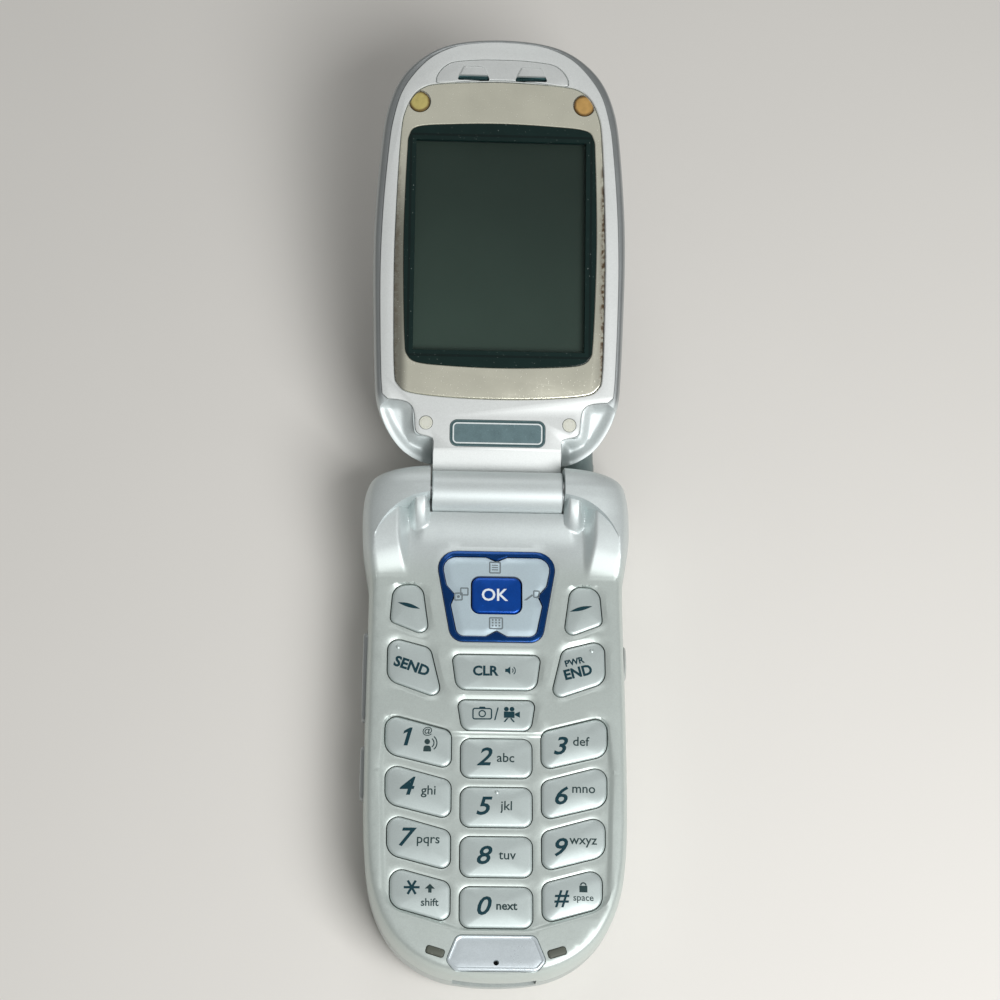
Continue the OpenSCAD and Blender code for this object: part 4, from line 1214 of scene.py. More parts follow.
CREASE = smooth([(12.15, -1.9), (13, -2.0), (15.1, -2.5), (17.1, -3.4), (18.8, -4.6), (20.3, -6.1),
                 (21.35, -7.6), (22.1, -9.2), (22.7, -11.4), (23.1, -14.0), (23.3, -16.5)], 4)
DOME_R = 5.2
DOME_LINE = [(-16.3, -0.3), (-14.5, 1.9), (-12, 3.0), (-9, 3.7), (-5, 4.3), (-2, 4.9), (0, DOME_R)]
SHOULDER_FOOT = -17.5           # front end of the shoulders on Y
LOBE_X = 15.6                   # inner edge of a shoulder's lobe
NOSE_X = 14.7                   # where the nose beside the barrel falls off
EDGE_DEPTHS = (0.2, 0.38, 0.62, 0.95, 1.35, 1.8)
EDGE_DROPS = (-2.0, -1.25, -0.7, -0.3, -0.08, 0.0)


def deck_height(points):
    """Height of the front cover's outer surface."""
    x, y = points.T
    across = np.abs(x)
    rim = signed_distance(points, BASE_OUTLINE)
    edge = DECK_Z + np.interp(rim, EDGE_DEPTHS, EDGE_DROPS)
    z = edge - WELL_DEPTH * ease(signed_distance(points, WELL_OUTLINE) / 0.9)
    for outline, depth, width in DISHES:
        low = outline.min(0) - 2
        high = outline.max(0) + 2
        close = ((points > low) & (points < high)).all(1)
        off = -signed_distance(points[close], outline) - KEY_GAP
        z[close] -= depth * (1 - np.clip(off / width, 0, 1))
    fairing = 1.15 * ease((y + 11) / 6.6)
    z = z + np.where(across < SLOT_X + 0.02, fairing, 0)
    shoulder = shoulder_height(across, y, edge, fairing)
    return np.where((across > SLOT_X + 0.02) & (y > SHOULDER_FOOT), shoulder, z)


def shoulder_height(across, y, edge, fairing):
    """Height of a hinge shoulder: a dome behind the crease, and before it a lobe and a nose."""
    roundness = np.sqrt(np.clip(1 - (across / side_of_base(y)) ** 5.6, 0, 1))
    crown = np.interp(y, *np.transpose(DOME_LINE))
    crown = np.where(y > 0, np.sqrt(np.clip(DOME_R**2 - y**2, 0, None)), crown)
    dome = edge + (crown + 0.3) * roundness
    further = 0.3 * np.clip(across - 16, 0, 6)
    lobe = 3.35 - 0.0137 * (y + 1) ** 2 - 0.8 * ease((-y - 10 - further) / 7)
    lobe = (lobe + np.sqrt(lobe**2 + 0.3)) / 2 * ease((y - SHOULDER_FOOT) / 2.5)
    lobe = lobe * ease((across - LOBE_X) / (2.6 - 1.3 * ease((-y - 8) / 8)))
    reach = 7.7 - 0.9 * np.clip(np.abs(across - 14) / 1.7, 0, 1.2) ** 2
    nose = 4.3 * np.clip(1 - np.abs(y / reach) ** 2.6, 0, 1) * (1 - ease((across - NOSE_X) / 1.7))
    apron = fairing * (1 - ease((across - 13.2) / 2.2))
    nose = apron + np.clip(nose - apron, 0, None) * ease((across - SLOT_X + 0.3) / 1.3)
    front = np.minimum(dome, edge + np.maximum(lobe, nose))
    crease = np.interp(across, *CREASE.T)
    return front + (dome - front) * ease((y - crease) / 0.3 + 0.5)


def front_cover_solid():
    """The front cover of the base with all its holes."""
    border = inset(BASE_OUTLINE, EDGE_DEPTHS[0])
    top_z = deck_height(border)
    lines = [(inset(BASE_OUTLINE, depth), True) for depth in EDGE_DEPTHS[2:5]]
    lines += [(WELL_OUTLINE, True), (inset(WELL_OUTLINE, 0.45), True),
              (inset(WELL_OUTLINE, 0.9), True)]
    for outline, _, width in DISHES:
        lines += [(inset(outline, -KEY_GAP), True), (inset(outline, -KEY_GAP - width), True)]
    creases = [CREASE[1:] + (0, off) for off in (-0.15, 0.15)]
    for x in (SLOT_X, SLOT_X + 0.09, NOSE_X, LOBE_X - 0.05, NOSE_X + 1.7):
        low = -11.6 if x < NOSE_X - 0.7 else -7.3
        creases.append(np.column_stack([np.full(34, x), np.linspace(low, 4.7, 34)]))
    for crease in creases:
        crease = crease[signed_distance(crease, border) > 0.25]
        lines += [(crease, False), (crease * (-1, 1), False)]
    fine = [(side * 18 - 6.6, side * 18 + 6.6, -18, 5.3, 0.3) for side in (1, -1)]
    cover = Solid(*topped([
        (BASE_OUTLINE, SEAM_Z + 0.15), (BASE_OUTLINE, top_z - 2.4),
        (inset(BASE_OUTLINE, 0.05), top_z - 1.0), (border, top_z)],
        deck_height, 1.1, lines=lines, fine=fine))
    # trough of the barrel, and the way of the lid's neck behind it
    cover -= rod(TROUGH_R, 2 * SLOT_X, along_x(-SLOT_X, 0, HINGE_Z), 64)
    cover -= bar([(0, HINGE_Z - TROUGH_R), (1.2, HINGE_Z - TROUGH_R - 0.1), (7, 8.1),
                  (7, 24), (-TROUGH_R, 24), (-TROUGH_R, HINGE_Z), (0, HINGE_Z)],
                 -SLOT_X, SLOT_X)
    # room under the deck, and the holes through it
    cover -= plate(room_outline(WALL), SEAM_Z - 1, UNDER_Z)
    holes = [plate(inset(o, -KEY_GAP), UNDER_Z - 1, DECK_Z + 1) for o in KEYS.values()]
    cover -= [*holes, plate(inset(RING_OUTLINE, -0.08), UNDER_Z - 1, DECK_Z + 1)]
    # seats of the chin panel and the bumpers, and the microphone's hole and pocket
    seats = [plate(inset(CHIN_OUTLINE, -0.1), DECK_Z - 0.9, DECK_Z + 1)]
    seats += [placed(plate(box_outline(3.3, 1.5, 0.5), -0.8, 2), place) for place in BUMPERS]
    cover -= seats
    cover -= rod(0.5, 5, upright(0, MIC_Y, UNDER_Z - 1))
    cover -= rod(1.5, UNDER_Z - SEAM_Z - 0.85, upright(0, MIC_Y + 0.9, SEAM_Z + 1))
    # hinge bores and antenna seat
    cover -= [rod(SHAFT_R, 9.5, along_x(-20.5, 0, HINGE_Z)),
              rod(BORE_R - 0.1, 8.35, along_x(SLOT_X - 1, 0, HINGE_Z))]
    cover -= antenna_bore()
    # holes for the side keys, the headset, the charging plug and the housing's screws
    high = SIDE_KEY_Z + 1.75
    low = SIDE_KEY_Z - 1.75
    cover -= [block(-26, -20, y - length / 2 - 0.3, y + length / 2 + 0.3, low, high)
              for y, length in SIDE_KEYS.values()]
    cover -= rod(2.05, 6, along_x(20, JACK_Y, JACK_Z))
    cover -= block(-SOCKET_HALF, SOCKET_HALF, -90, ROOM_Y[0] + 0.3, SEAM_Z - 1, SEAM_Z + 1.6)
    cover -= [rod(0.9, 4.2, upright(x, y, SEAM_Z - 1)) for x, y in SCREWS]
    return cover


BUMPERS = [upright(side * 10.3, -83.3, DECK_Z) @ Matrix.Rotation(math.radians(side * 17), 4, "Z")
           for side in (-1, 1)]
# Distance from the chin panel's edge, and height there
CHIN_LIP = ((0.1, 0.28, 0.42, 0.62, 0.88, 1.5), (0.02, 0.08, 0.04, -0.1, -0.06, 0.0))


def chin_height(points):
    """Height of the chin panel: a raised lip with a groove inside it."""
    rim = signed_distance(points, CHIN_OUTLINE)
    return DECK_Z + np.interp(rim, *CHIN_LIP)


def room_outline(wall):
    """The room inside the base at a distance from its outer face."""
    half = inset(BASE_OUTLINE, wall)
    half = half[(half[:, 0] > 0) & (half[:, 1] > ROOM_Y[0]) & (half[:, 1] < ROOM_Y[1])]
    return both(half)


def antenna_bore():
    """Bore for the antenna's sleeve, with the rod's way in."""
    return (Solid(rod(STUB_R, 4, along_y(STUB_X, STUB_Y, WHIP_Z)))
            + Solid(rod(1.5, 12, along_y(STUB_X, -5.5, WHIP_Z)))
            + Solid(rod(1.05, 8, along_y(STUB_X, ROOM_Y[1] - 1, WHIP_Z))))


def rear_housing_solid():
    """The rear housing with the battery bay and the latch slot."""
    sections = [(2.2, 0), (1.6, 0.16), (1.05, 0.55), (0.6, 1.2), (0.28, 2.2), (0.08, 3.6), (0, 5),
                (0, SEAM_Z)]
    housing = Solid(stepped(BASE_OUTLINE, *sections))
    # battery bay, and the room above its roof
    roof = PACK_HIGH[2] + 0.15
    housing -= plate(inset(PACK_OUTLINE, -0.15), -1, roof)
    housing -= plate(room_outline(REAR_WALL), roof + 0.75, SEAM_Z + 1)
    # slot of the latch, wider inside, and the slot of the contacts
    slot = (LATCH_Y[0] - 0.3, LATCH_Y[1] + 2.0)
    housing -= block(-4.2, 4.2, *slot, -1, 3.3)
    housing -= block(-5.2, 5.2, *slot, 1.5, 3.3)
    housing -= block(-6.2, 6.2, -25.8, -23.4, 3, 7)
    # antenna, charging plug and screws
    housing -= antenna_bore()
    housing -= block(-SOCKET_HALF, SOCKET_HALF, -90, ROOM_Y[0] + 0.3, 5.8, SEAM_Z + 1)
    housing -= [turned([(1.85, -1), (1.85, 0), (1.6, 0.25), (1.6, 2.2), (0.9, 2.25),
                        (0.9, 12)], upright(x, y)) for x, y in SCREWS]
    return housing


def towards_middle(outline, share):
    """An outline shrunk towards its middle."""
    middle = outline.mean(0)
    return middle + (outline - middle) * share


def button(outline, side_z, crown, flange=0.35):
    """A key: a flange below, a rounded edge and a gently swelling top."""
    edge = inset(outline, 0.42)
    sections = [(inset(outline, -flange), FLANGE_Z), (inset(outline, -flange), FLANGE_Z + 0.65),
                (inset(outline, 0.0), FLANGE_Z + 0.7), (outline, side_z - 0.36),
                (inset(outline, 0.05), side_z - 0.2), (inset(outline, 0.16), side_z - 0.08),
                (edge, side_z)]
    for share in (0.93, 0.82, 0.7, 0.56, 0.42, 0.28, 0.14, 0.03):
        sections.append((towards_middle(edge, share), side_z + crown * (1 - share**2)))
    return loft(*sections)


def ring_notched(depth, more=0.0, radius=0.25):
    """The blue ring's outline moved inward, with an arrowhead in the middle of each side.

    more adds to the height of the arrowheads.
    """
    (x0, y0, r0), (x1, y1, r1) = RING_CORNERS[1:3]
    x0 = x0 - depth
    x1 = x1 - depth
    y0 = y0 + depth
    y1 = y1 - depth
    r0 = r0 - depth
    r1 = r1 - depth
    wide = 1.9
    tall = 1.9
    foot = 1.0 + more
    flank = 1.1 + more
    top = 0.8 + more

    def side(y):
        return x0 + (x1 - x0) * (y - y0) / (y1 - y0)

    right = [(side(NAV_Y - tall), NAV_Y - tall, 0.5), (side(NAV_Y) - flank, NAV_Y, radius),
             (side(NAV_Y + tall), NAV_Y + tall, 0.5)]
    left = [(-x, y, r) for x, y, r in right[::-1]]
    return rounded([
        (-x0, y0, r0), (-wide, y0, 0.5), (0, y0 + foot, radius), (wide, y0, 0.5), (x0, y0, r0),
        *right, (x1, y1, r1), (wide, y1, 0.5), (0, y1 - top, radius), (-wide, y1, 0.5),
        (-x1, y1, r1), *left], 5)


def pad_height(points):
    """Height of the tipping pad, which swells a little towards its middle."""
    rim = signed_distance(points, ring_notched(1.15))
    return DECK_Z - 0.2 + 0.24 * ease(rim / 1.3) ** 0.8


def ring_solid():
    """The blue ring with its notched opening."""
    ring = Solid(stepped(RING_OUTLINE, (0, UNDER_Z - 0.2), (0, RING_TOP - 0.3),
                         (0.1, RING_TOP - 0.08), (0.28, RING_TOP)))
    hole = ring_notched(1.0)
    wide = ring_notched(0.82)
    return ring - loft((hole, UNDER_Z - 1), (hole, RING_TOP - 0.22), (wide, RING_TOP + 0.02),
                       (wide, RING_TOP + 1))


def pad_solid():
    """The tipping pad with the middle key's hole."""
    border = ring_notched(1.15, 0.1)
    pad = Solid(*topped([(inset(border, 0.02), FLANGE_Z + 0.5), (border, DECK_Z - 0.3),
                         (border, pad_height(border))], pad_height, 0.5))
    return pad - plate(inset(OK_OUTLINE, -0.25), FLANGE_Z - 1, DECK_Z + 1)


def ok_solid():
    """The middle key with its swelling top, without its stem."""
    edge = inset(OK_OUTLINE, 0.35)
    sections = [(OK_OUTLINE, FLANGE_Z + 0.3), (OK_OUTLINE, RING_TOP - 0.42),
                (inset(OK_OUTLINE, 0.05), RING_TOP - 0.24),
                (inset(OK_OUTLINE, 0.17), RING_TOP - 0.12), (edge, RING_TOP - 0.06)]
    sections += [(towards_middle(edge, share), RING_TOP - 0.06 + 0.16 * (1 - share**2))
                 for share in (0.9, 0.75, 0.6, 0.4, 0.2, 0.03)]
    return Solid(loft(*sections))


# ---- shapes of the lid -------------------------------------------------------------------

LID_ROWS = [(5, 15, 0), (3.4, 12.3, 0.35), (2.2, 10, 1), (0.8, 5, 3), (0.15, 1.5, 5.6),
            (0.0, 0.0, 7.6), (0.02, 0.0, 8.8), (0.16, 0.0, 9.7), (0.45, 0.0, 10.3),
            (0.85, 0.0, 10.62)]
POCKET_LINE = smooth([(-4, -5.4), (3, -5.1), (7, -4.2), (12, -3.1), (15.2, -2.2), (17.5, -1.6)],
                     4)


def lid_section(draw_in, lift):
    """The lid's outline drawn in and lifted off the hinge end."""
    outline = inset(LID_OUTLINE, draw_in)
    share = np.clip(1 - np.clip(outline[:, 1] - 5, 0, None) / 34, 0, None)
    return outline + np.column_stack([np.zeros(len(outline)), lift * share])


POCKET_OUTLINE = rounded([
    (TAB_X + 0.1, -4, 0.3), (26, -4, 0.3), (26, 17.5, 0.3), (17.3, 17.4, 1.0), (15.75, 16.1, 1.0),
    (15.45, 12.6, 1.2), (15.2, 10.75, 1.0), (TAB_X + 0.1, 10.5, 0.3)])


def pocket_height(points):
    """Floor of the pocket over a lobe: a ramp with soft walls and a lip along the lid's rim."""
    ramp = np.interp(points[:, 1], *POCKET_LINE.T)
    lip = 0.8 * (1 - ease((signed_distance(points, LID_OUTLINE) - 0.5) / 1.7))
    wall = 1.1 * (1 - ease(signed_distance(points, POCKET_OUTLINE) / 2.0))
    return ramp + lip + wall


def corner_pocket(side):
    """The pocket over one shoulder's lobe."""
    o = POCKET_OUTLINE
    pocket = loft((o, 2.0), (o, pocket_height(o)), top=False), sheet(o, pocket_height, 0.5)
    return Solid(*[placed(part, Matrix.Scale(side, 4, (1, 0, 0))) for part in pocket])


def lid_housing_solid():
    """The lid's outer shell with the hinge barrel."""
    rows = smooth(LID_ROWS, 3)
    housing = Solid(loft(*[(lid_section(max(d, 0), lift), BACK + z) for d, lift, z in rows]))
    bevel = 0.18
    housing += turned([(BARREL_R - bevel, 0), (BARREL_R, bevel), (BARREL_R, 2 * BARREL_X - bevel),
                       (BARREL_R - bevel, 2 * BARREL_X)], along_x(-BARREL_X, 0, 0), 72)
    housing += bar([(1, -3.85), (3.6, -3.1), (3.6, -2.5), (14, -2.5), (14, -9), (9, -8.2)],
                   -BARREL_X, BARREL_X)
    # seat of the inner cover and its tab
    housing -= plate(inset(COVER_OUTLINE, -0.08), FACE - 1.45, 2)
    housing -= block(-TAB_X - 0.05, TAB_X + 0.05, BARREL_R, 10, FACE - 2.2, 2)
    # room inside, with posts left for the screws
    room = Solid(loft((lid_section(6.2, 16), BACK + 1.3), (lid_section(2.4, 6), BACK + 4.5),
                      (lid_section(2.2, 4), FACE)))
    room &= block(-30, 30, 20, 90, -12, 2)
    room -= [rod(1.9, 14, upright(x, y, -12)) for x, y in LID_SCREWS]
    housing -= room
    housing -= screw_holes()
    housing -= rod(BORE_R, 40, along_x(-20, 0, 0))
    housing -= corner_pocket(1)
    housing -= corner_pocket(-1)
    # seats of the outer window, the camera and the flash
    wide, tall = OUTER_WINDOW_SIZE
    seat = box_outline(wide + 0.2, tall + 0.2, 3, 0, OUTER_WINDOW_Y)
    housing -= plate(seat, BACK - 1, BACK + 0.8)
    housing -= plate(box_outline(20, 16, 2, 0, OUTER_WINDOW_Y), BACK - 1, BACK + 3)
    housing -= [rod(4.1, 5, upright(0, CAMERA_Y, BACK - 1)),
                rod(1.4, 5, upright(FLASH_X, CAMERA_Y, BACK - 1))]
    return housing


def screw_holes():
    """Holes for the lid's screws and their plugs."""
    return Solid(*[turned([(0.7, -6), (0.7, -1.66), (1.3, -1.65), (1.3, 1.35)],
                          upright(x, y, FACE)) for x, y in LID_SCREWS])


def lid_cover_solid():
    """The lid's inner cover with its tab and seats."""
    cover = Solid(stepped(COVER_OUTLINE, (0, FACE - 1.35), (0, FACE - 0.2), (0.06, FACE - 0.07),
                          (0.2, FACE)))
    cover += block(-TAB_X, TAB_X, BARREL_R + 0.1, 9.9, FACE - 2.1, FACE - 1.3)
    # the tab slopes down to the barrel
    slope = smooth([(4.1, FACE - 1.28), (4.6, FACE - 1.12), (6.4, FACE - 0.5),
                    (8.4, FACE - 0.02)], 3)
    cover -= bar([(3, 1), (3, FACE - 1.32), *slope, (8.5, 1)], -20, 20)
    # seats of the bezel, the display, the earpiece panel, the screws and the badge
    cover -= stepped(BEZEL_OUTLINE, (-0.15, FACE - 0.95), (-0.15, FACE - 0.16),
                     (-0.32, FACE + 0.01), (-0.32, 1))
    cover -= plate(box_outline(33, 41, 0.8, 0, LCD_Y), FACE - 2, 1)
    cover -= stepped(GRILLE_OUTLINE, (-0.1, FACE - 0.7), (-0.1, FACE - 0.15),
                     (-0.22, FACE + 0.01), (-0.22, 1))
    cover -= block(-8.2, 8.2, 78, 79.2, -3, 1)
    cover -= screw_holes()
    cover -= plate(inset(BADGE_OUTLINE, -0.08), FACE - 0.5, 1)
    return cover


# ---- operators ---------------------------------------------------------------------------


class Build:
    """What the operators share."""
    bl_options = {"REGISTER", "UNDO"}

    def execute(self, context):
        self.build()
        return {"FINISHED"}


class PHONE_OT_rear_housing(Build, bpy.types.Operator):
    """Build the rear housing of the base"""
    bl_idname = "phone.rear_housing"
    bl_label = "Rear Housing"

    def build(self):
        paint = metal_paint("rear_paint", colours().rear, rough=0.42, flake=0.14)
        piece("rear_shell", "base", rear_housing_solid(), paint, ["rear_housing"])


class PHONE_OT_front_cover(Build, bpy.types.Operator):
    """Build the front cover of the base with its key holes and shoulders"""
    bl_idname = "phone.front_cover"
    bl_label = "Front Cover"

    def build(self):
        # the deck's key gaps get painted shade below DECK_Z - 1.05
        paint = metal_paint("base_paint", colours().deck, rough=0.41,
                            gloss=(colours().shoulder, 0.50, 0.54, -17.0, -10.0),
                            shade_below=DECK_Z - 1.05)
        piece("deck_shell", "base", front_cover_solid(), paint, ["front_cover"])


class PHONE_OT_chin(Build, bpy.types.Operator):
    """Build the chin panel and the two bumpers"""
    bl_idname = "phone.chin"
    bl_label = "Chin Panel and Bumpers"

    def build(self):
        rim = inset(CHIN_OUTLINE, 0.1)
        panel = Solid(*topped([(CHIN_OUTLINE, DECK_Z - 0.9), (CHIN_OUTLINE, DECK_Z - 0.1),
                               (rim, chin_height(rim))], chin_height, 0.4,
                              lines=[(inset(CHIN_OUTLINE, d), True) for d in CHIN_LIP[0][1:5]]))
        panel -= turned([(0.45, -2), (0.45, -0.1), (0.62, 0.2)], upright(0, MIC_Y, DECK_Z), 24)
        piece("chin_plate", "base", panel, metal_paint("chin_paint", colours().chin, rough=0.3),
              ["chin_panel"])
        outline = box_outline(3.1, 1.3, 0.45)
        bumper = stepped(outline, (0, -0.8), (0, 0.12), (0.1, 0.24), (0.28, 0.3))
        rubber = moulded("bumper_rubber", (0.100, 0.110, 0.088), 0.6, 6.0, 0.015)
        piece("bumpers", "base", Solid(*[placed(bumper, place) for place in BUMPERS]), rubber,
              ["deck_bumpers"])


class PHONE_OT_keys(Build, bpy.types.Operator):
    """Build the keys of the deck with their printed marks"""
    bl_idname = "phone.keys"
    bl_label = "Keys"

    def build(self):
        lacquer = satin_key("key_lacquer", colours().key)
        dark = ink("digit_ink", colours().ink)
        grey = ink("letter_ink", colours().small_ink)
        words = ("soft_left", "soft_right", "send_key", "end_key", "clear_key", "camera_key")
        digits = digit_marks()
        small = small_marks()
        for name, outline in KEYS.items():
            side_z = DECK_Z - (0.28 if name in SUNK_KEYS else 0.2)
            crown = sizes().key_crown * (1.0 if name in SUNK_KEYS else 0.75)
            cap = Solid(button(outline, side_z, crown))
            marks = laid_on(small[name], cap, sizes().ink_rise)
            big = laid_on(digits.get(name, []), cap, sizes().ink_rise)
            if name in NIBS:
                x, y = NIBS[name]
                height = height_at(BVHTree.FromPolygons(*cap.part()), x, y)
                cap += turned([(0.42, -0.3), (0.40, 0.0), (0.30, 0.10), (0.12, 0.17)],
                              upright(x, y, height), 20)
            piece(f"{name}_cap", name, cap, lacquer, [name])
            tone = dark if name in words else grey
            piece(f"{name}_letters", name, Solid(*marks), tone)
            if big:
                piece(f"{name}_digit", name, Solid(*big), dark)


class PHONE_OT_navigation(Build, bpy.types.Operator):
    """Build the blue ring, the tipping pad and the middle key"""
    bl_idname = "phone.navigation"
    bl_label = "Navigation Pad"

    def build(self):
        piece("blue_ring", "base", ring_solid(),
              tinted_metal("nav_blue", colours().ring, coat=0.3), ["nav_ring"])
        pad = pad_solid()
        icons = [shifted(part, x, y) for x, y, parts in (
            (-0.3, NAV_Y + 5.3, page_icon()), (-6.4, NAV_Y + 0.1, squares_icon()),
            (6.3, NAV_Y, pen_icon()), (-0.1, NAV_Y - 5.3, grid_icon())) for part in parts]
        marks = Solid(*laid_on(icons, pad, sizes().ink_rise - 0.008))
        piece("pad_cap", "nav_pad", pad, satin_key("pad_silver", colours().pad),
              ["nav_pad"])
        faint = tuple(0.27 * value for value in colours().pad)
        piece("pad_marks", "nav_pad", marks, ink("faint_ink", faint))
        key = ok_solid()
        label = laid_on([shifted(text_part("OK", 3.2, 0.0, 0.045), -0.3, NAV_Y)], key,
                        sizes().ink_rise)
        stem_low = corners("ok_key")[0][2]
        key += rod(1.3, FLANGE_Z + 0.5 - stem_low, upright(0, NAV_Y, stem_low))
        piece("ok_cap", "ok_key", key, tinted_metal("ok_blue", colours().ok, 0.6, 0.30, 0.25),
              ["ok_key"])
        piece("ok_letters", "ok_key", Solid(*label), ink("white_ink", (0.80, 0.86, 0.90)))


class PHONE_OT_side_keys(Build, bpy.types.Operator):
    """Build the volume rocker, the voice key and the headset cover"""
    bl_idname = "phone.side_keys"
    bl_label = "Side Keys and Headset Cover"

    def build(self):
        lacquer = metal_paint("side_key_paint", colours().rim, rough=0.36)
        turn = Matrix.Rotation(-math.pi / 2, 4, "Y")
        for name, (y, length) in SIDE_KEYS.items():
            outline = box_outline(3.0, length, 1.3)
            back = box_outline(2.8, length + 1.4, 0.3)
            place = upright(-BASE_HALF, y, SIDE_KEY_Z) @ turn
            steps = [(back, -2.5), (back, -1.9), (outline, -1.85), (outline, 0.2),
                     (inset(outline, 0.1), 0.45), (inset(outline, 0.3), 0.62)]
            steps += [(towards_middle(inset(outline, 0.3), share), 0.62 + 0.13 * (1 - share**2))
                      for share in (0.8, 0.55, 0.3, 0.05)]
            cap = Solid(placed(loft(*steps), place))
            grooves = [0.35 * length, -0.35 * length] if name == "volume_rocker" else [0.0]
            cap -= [placed(plate(box_outline(1.9, 0.35, 0.15, 0, at), 0.6, 2), place) for at in grooves]
            piece(f"{name}_cap", name, cap, lacquer, [name])
        rubber = moulded("jack_rubber", (0.46, 0.49, 0.47), 0.45, 5.0, 0.01)
        outline = box_outline(4.6, 6.4, 2.25)
        place = along_x(BASE_HALF + 0.03, JACK_Y, JACK_Z)
        lid = Solid(placed(stepped(outline, (0, 0), (0, 0.1), (0.1, 0.22), (0.4, 0.34), (1.0, 0.4)),
                           place))
        lid -= placed(plate(box_outline(0.5, 2.4, 0.2, -0.9, 0), 0.25, 2), place)
        piece("headset_cover", "jack_cover", lid, rubber, ["jack_cover"])


class PHONE_OT_antenna(Build, bpy.types.Operator):
    """Build the antenna's sleeve and its pull-out rod"""
    bl_idname = "phone.antenna"
    bl_label = "Antenna"

    def build(self):
        reach = STUB_END - STUB_Y
        sleeve = Solid(turned([(STUB_R, 0), (STUB_R, reach - 4.4), (STUB_R - 0.12, reach - 4.2),
                               (STUB_R - 0.12, reach - 0.9), (STUB_R - 0.3, reach - 0.35),
                               (STUB_R - 0.7, reach)], along_y(STUB_X, STUB_Y, WHIP_Z), 56))
        sleeve += rod(1.5, 10, along_y(STUB_X, -5.5, WHIP_Z))
        sleeve -= rod(0.88, 30, along_y(STUB_X, -6, WHIP_Z))
        piece("antenna_sleeve", "base", sleeve,
              moulded("antenna_plastic", colours().antenna, 0.4, 4.0, 0.012),
              ["antenna_stub"])
        low, high = corners("antenna_whip")
        rod_end = STUB_END + 0.5
        whip = Solid(turned([(0.6, 0), (0.8, 0.3), (0.8, rod_end - low[1])],
                            along_y(STUB_X, low[1], WHIP_Z), 32))
        knob = smooth([(2.45, 0), (2.72, 0.35), (2.72, 1.0), (2.5, 2.0), (1.7, 2.8), (0.1, 3.1)], 4)
        whip += turned(knob, along_y(STUB_X, high[1] - 3.1, WHIP_Z), 48)
        steel = bare_metal("whip_steel", (0.10, 0.10, 0.105), rough=0.35)
        tip = moulded("whip_tip", colours().antenna, 0.42, 4.0, 0.012)
        piece("antenna_rod", "antenna_whip", whip, steel, ["antenna_whip"],
              second=(tip, lambda centre: centre.y > rod_end - 0.3))


class PHONE_OT_battery(Build, bpy.types.Operator):
    """Build the battery's case and its latch"""
    bl_idname = "phone.battery"
    bl_label = "Battery"

    def build(self):
        paint = metal_paint("battery_paint", colours().rear, rough=0.44, flake=0.14)
        case = Solid(stepped(PACK_OUTLINE, (0.5, 0), (0.2, 0.12), (0.05, 0.32), (0, 0.6),
                             (0, PACK_HIGH[2])))
        low, high = corners("battery_cell")
        case -= block(low[0] - 0.3, high[0] + 0.3, low[1] - 0.3, high[1] + 0.3, 1, 3.9)
        case -= [plate(box_outline(12, 0.6, 0.25, 0, -26.7 - 1.4 * i), -1, 0.4) for i in range(4)]
        piece("battery_shell", "battery", case, paint, ["battery_case"])
        grip = moulded("latch_plastic", (0.09, 0.095, 0.095), 0.45, 4.0, 0.012)
        y0, y1 = LATCH_Y
        latch = Solid(plate(box_outline(7.8, y1 - y0, 0.5, 0, (y0 + y1) / 2), 0.2, 1.7))
        latch += block(-4.9, 4.9, y0, y1, 1.65, 3.1)
        latch -= [plate(box_outline(5.2, 0.5, 0.2, 0, y0 + 0.95 + 1.1 * i), 0, 0.5)
                  for i in range(4)]
        piece("latch_slider", "battery_latch", latch, grip, ["battery_latch"])


class PHONE_OT_lid_housing(Build, bpy.types.Operator):
    """Build the lid's housing with its barrel"""
    bl_idname = "phone.lid_housing"
    bl_label = "Lid Housing"

    def build(self):
        # the lid's hinge end gets painted shade beside the cover's tab
        paint = metal_paint("lid_back_paint", colours().rim, True, metallic=0.8,
                            gloss=(tuple(1.03 * v for v in colours().shoulder), 0.5, 0.45,
                                   19.0, 15.5), corner=(TAB_X + 0.15, 10.5))
        piece("lid_shell", "lid", lid_housing_solid(), paint, ["lid_housing"])


class PHONE_OT_lid_cover(Build, bpy.types.Operator):
    """Build the lid's inner cover"""
    bl_idname = "phone.lid_cover"
    bl_label = "Lid Cover"

    def build(self):
        paint = metal_paint("lid_paint", colours().cover, True, metallic=0.2, rough=0.46)
        piece("lid_face", "lid", lid_cover_solid(), paint, ["lid_cover"])


class PHONE_OT_bezel(Build, bpy.types.Operator):
    """Build the mirror bezel round the display"""
    bl_idname = "phone.bezel"
    bl_label = "Mirror Bezel"

    def build(self):
        bezel = Solid(stepped(BEZEL_OUTLINE, (0, FACE - 0.9), (0, FACE - 0.28), (0.1, FACE - 0.14),
                              (0.28, FACE - 0.1)))
        bezel -= stepped(WINDOW_OUTLINE, (-0.05, -3), (-0.05, FACE - 0.25),
                         (-0.2, FACE - 0.08), (-0.2, 1))
        bezel -= [rod(2.12, 4, upright(x, y, -3)) for x, y in LID_SCREWS[:2]]
        piece("bezel_foil", "lid", bezel, mirror_film("mirror_film", colours().mirror),
              ["mirror_bezel"])


class PHONE_OT_display(Build, bpy.types.Operator):
    """Build the display's window and finish the display behind it"""
    bl_idname = "phone.display"
    bl_label = "Display"

    def build(self):
        pane = Solid(stepped(WINDOW_OUTLINE, (0, FACE - 0.9), (0, FACE - 0.3), (0.08, FACE - 0.18),
                             (0.22, FACE - 0.15)))
        piece("window_pane", "lid", pane, display_window("window_glass", colours().border),
              ["display_window"])
        finish_node("display_module", display_panel("display_glass", colours().display))


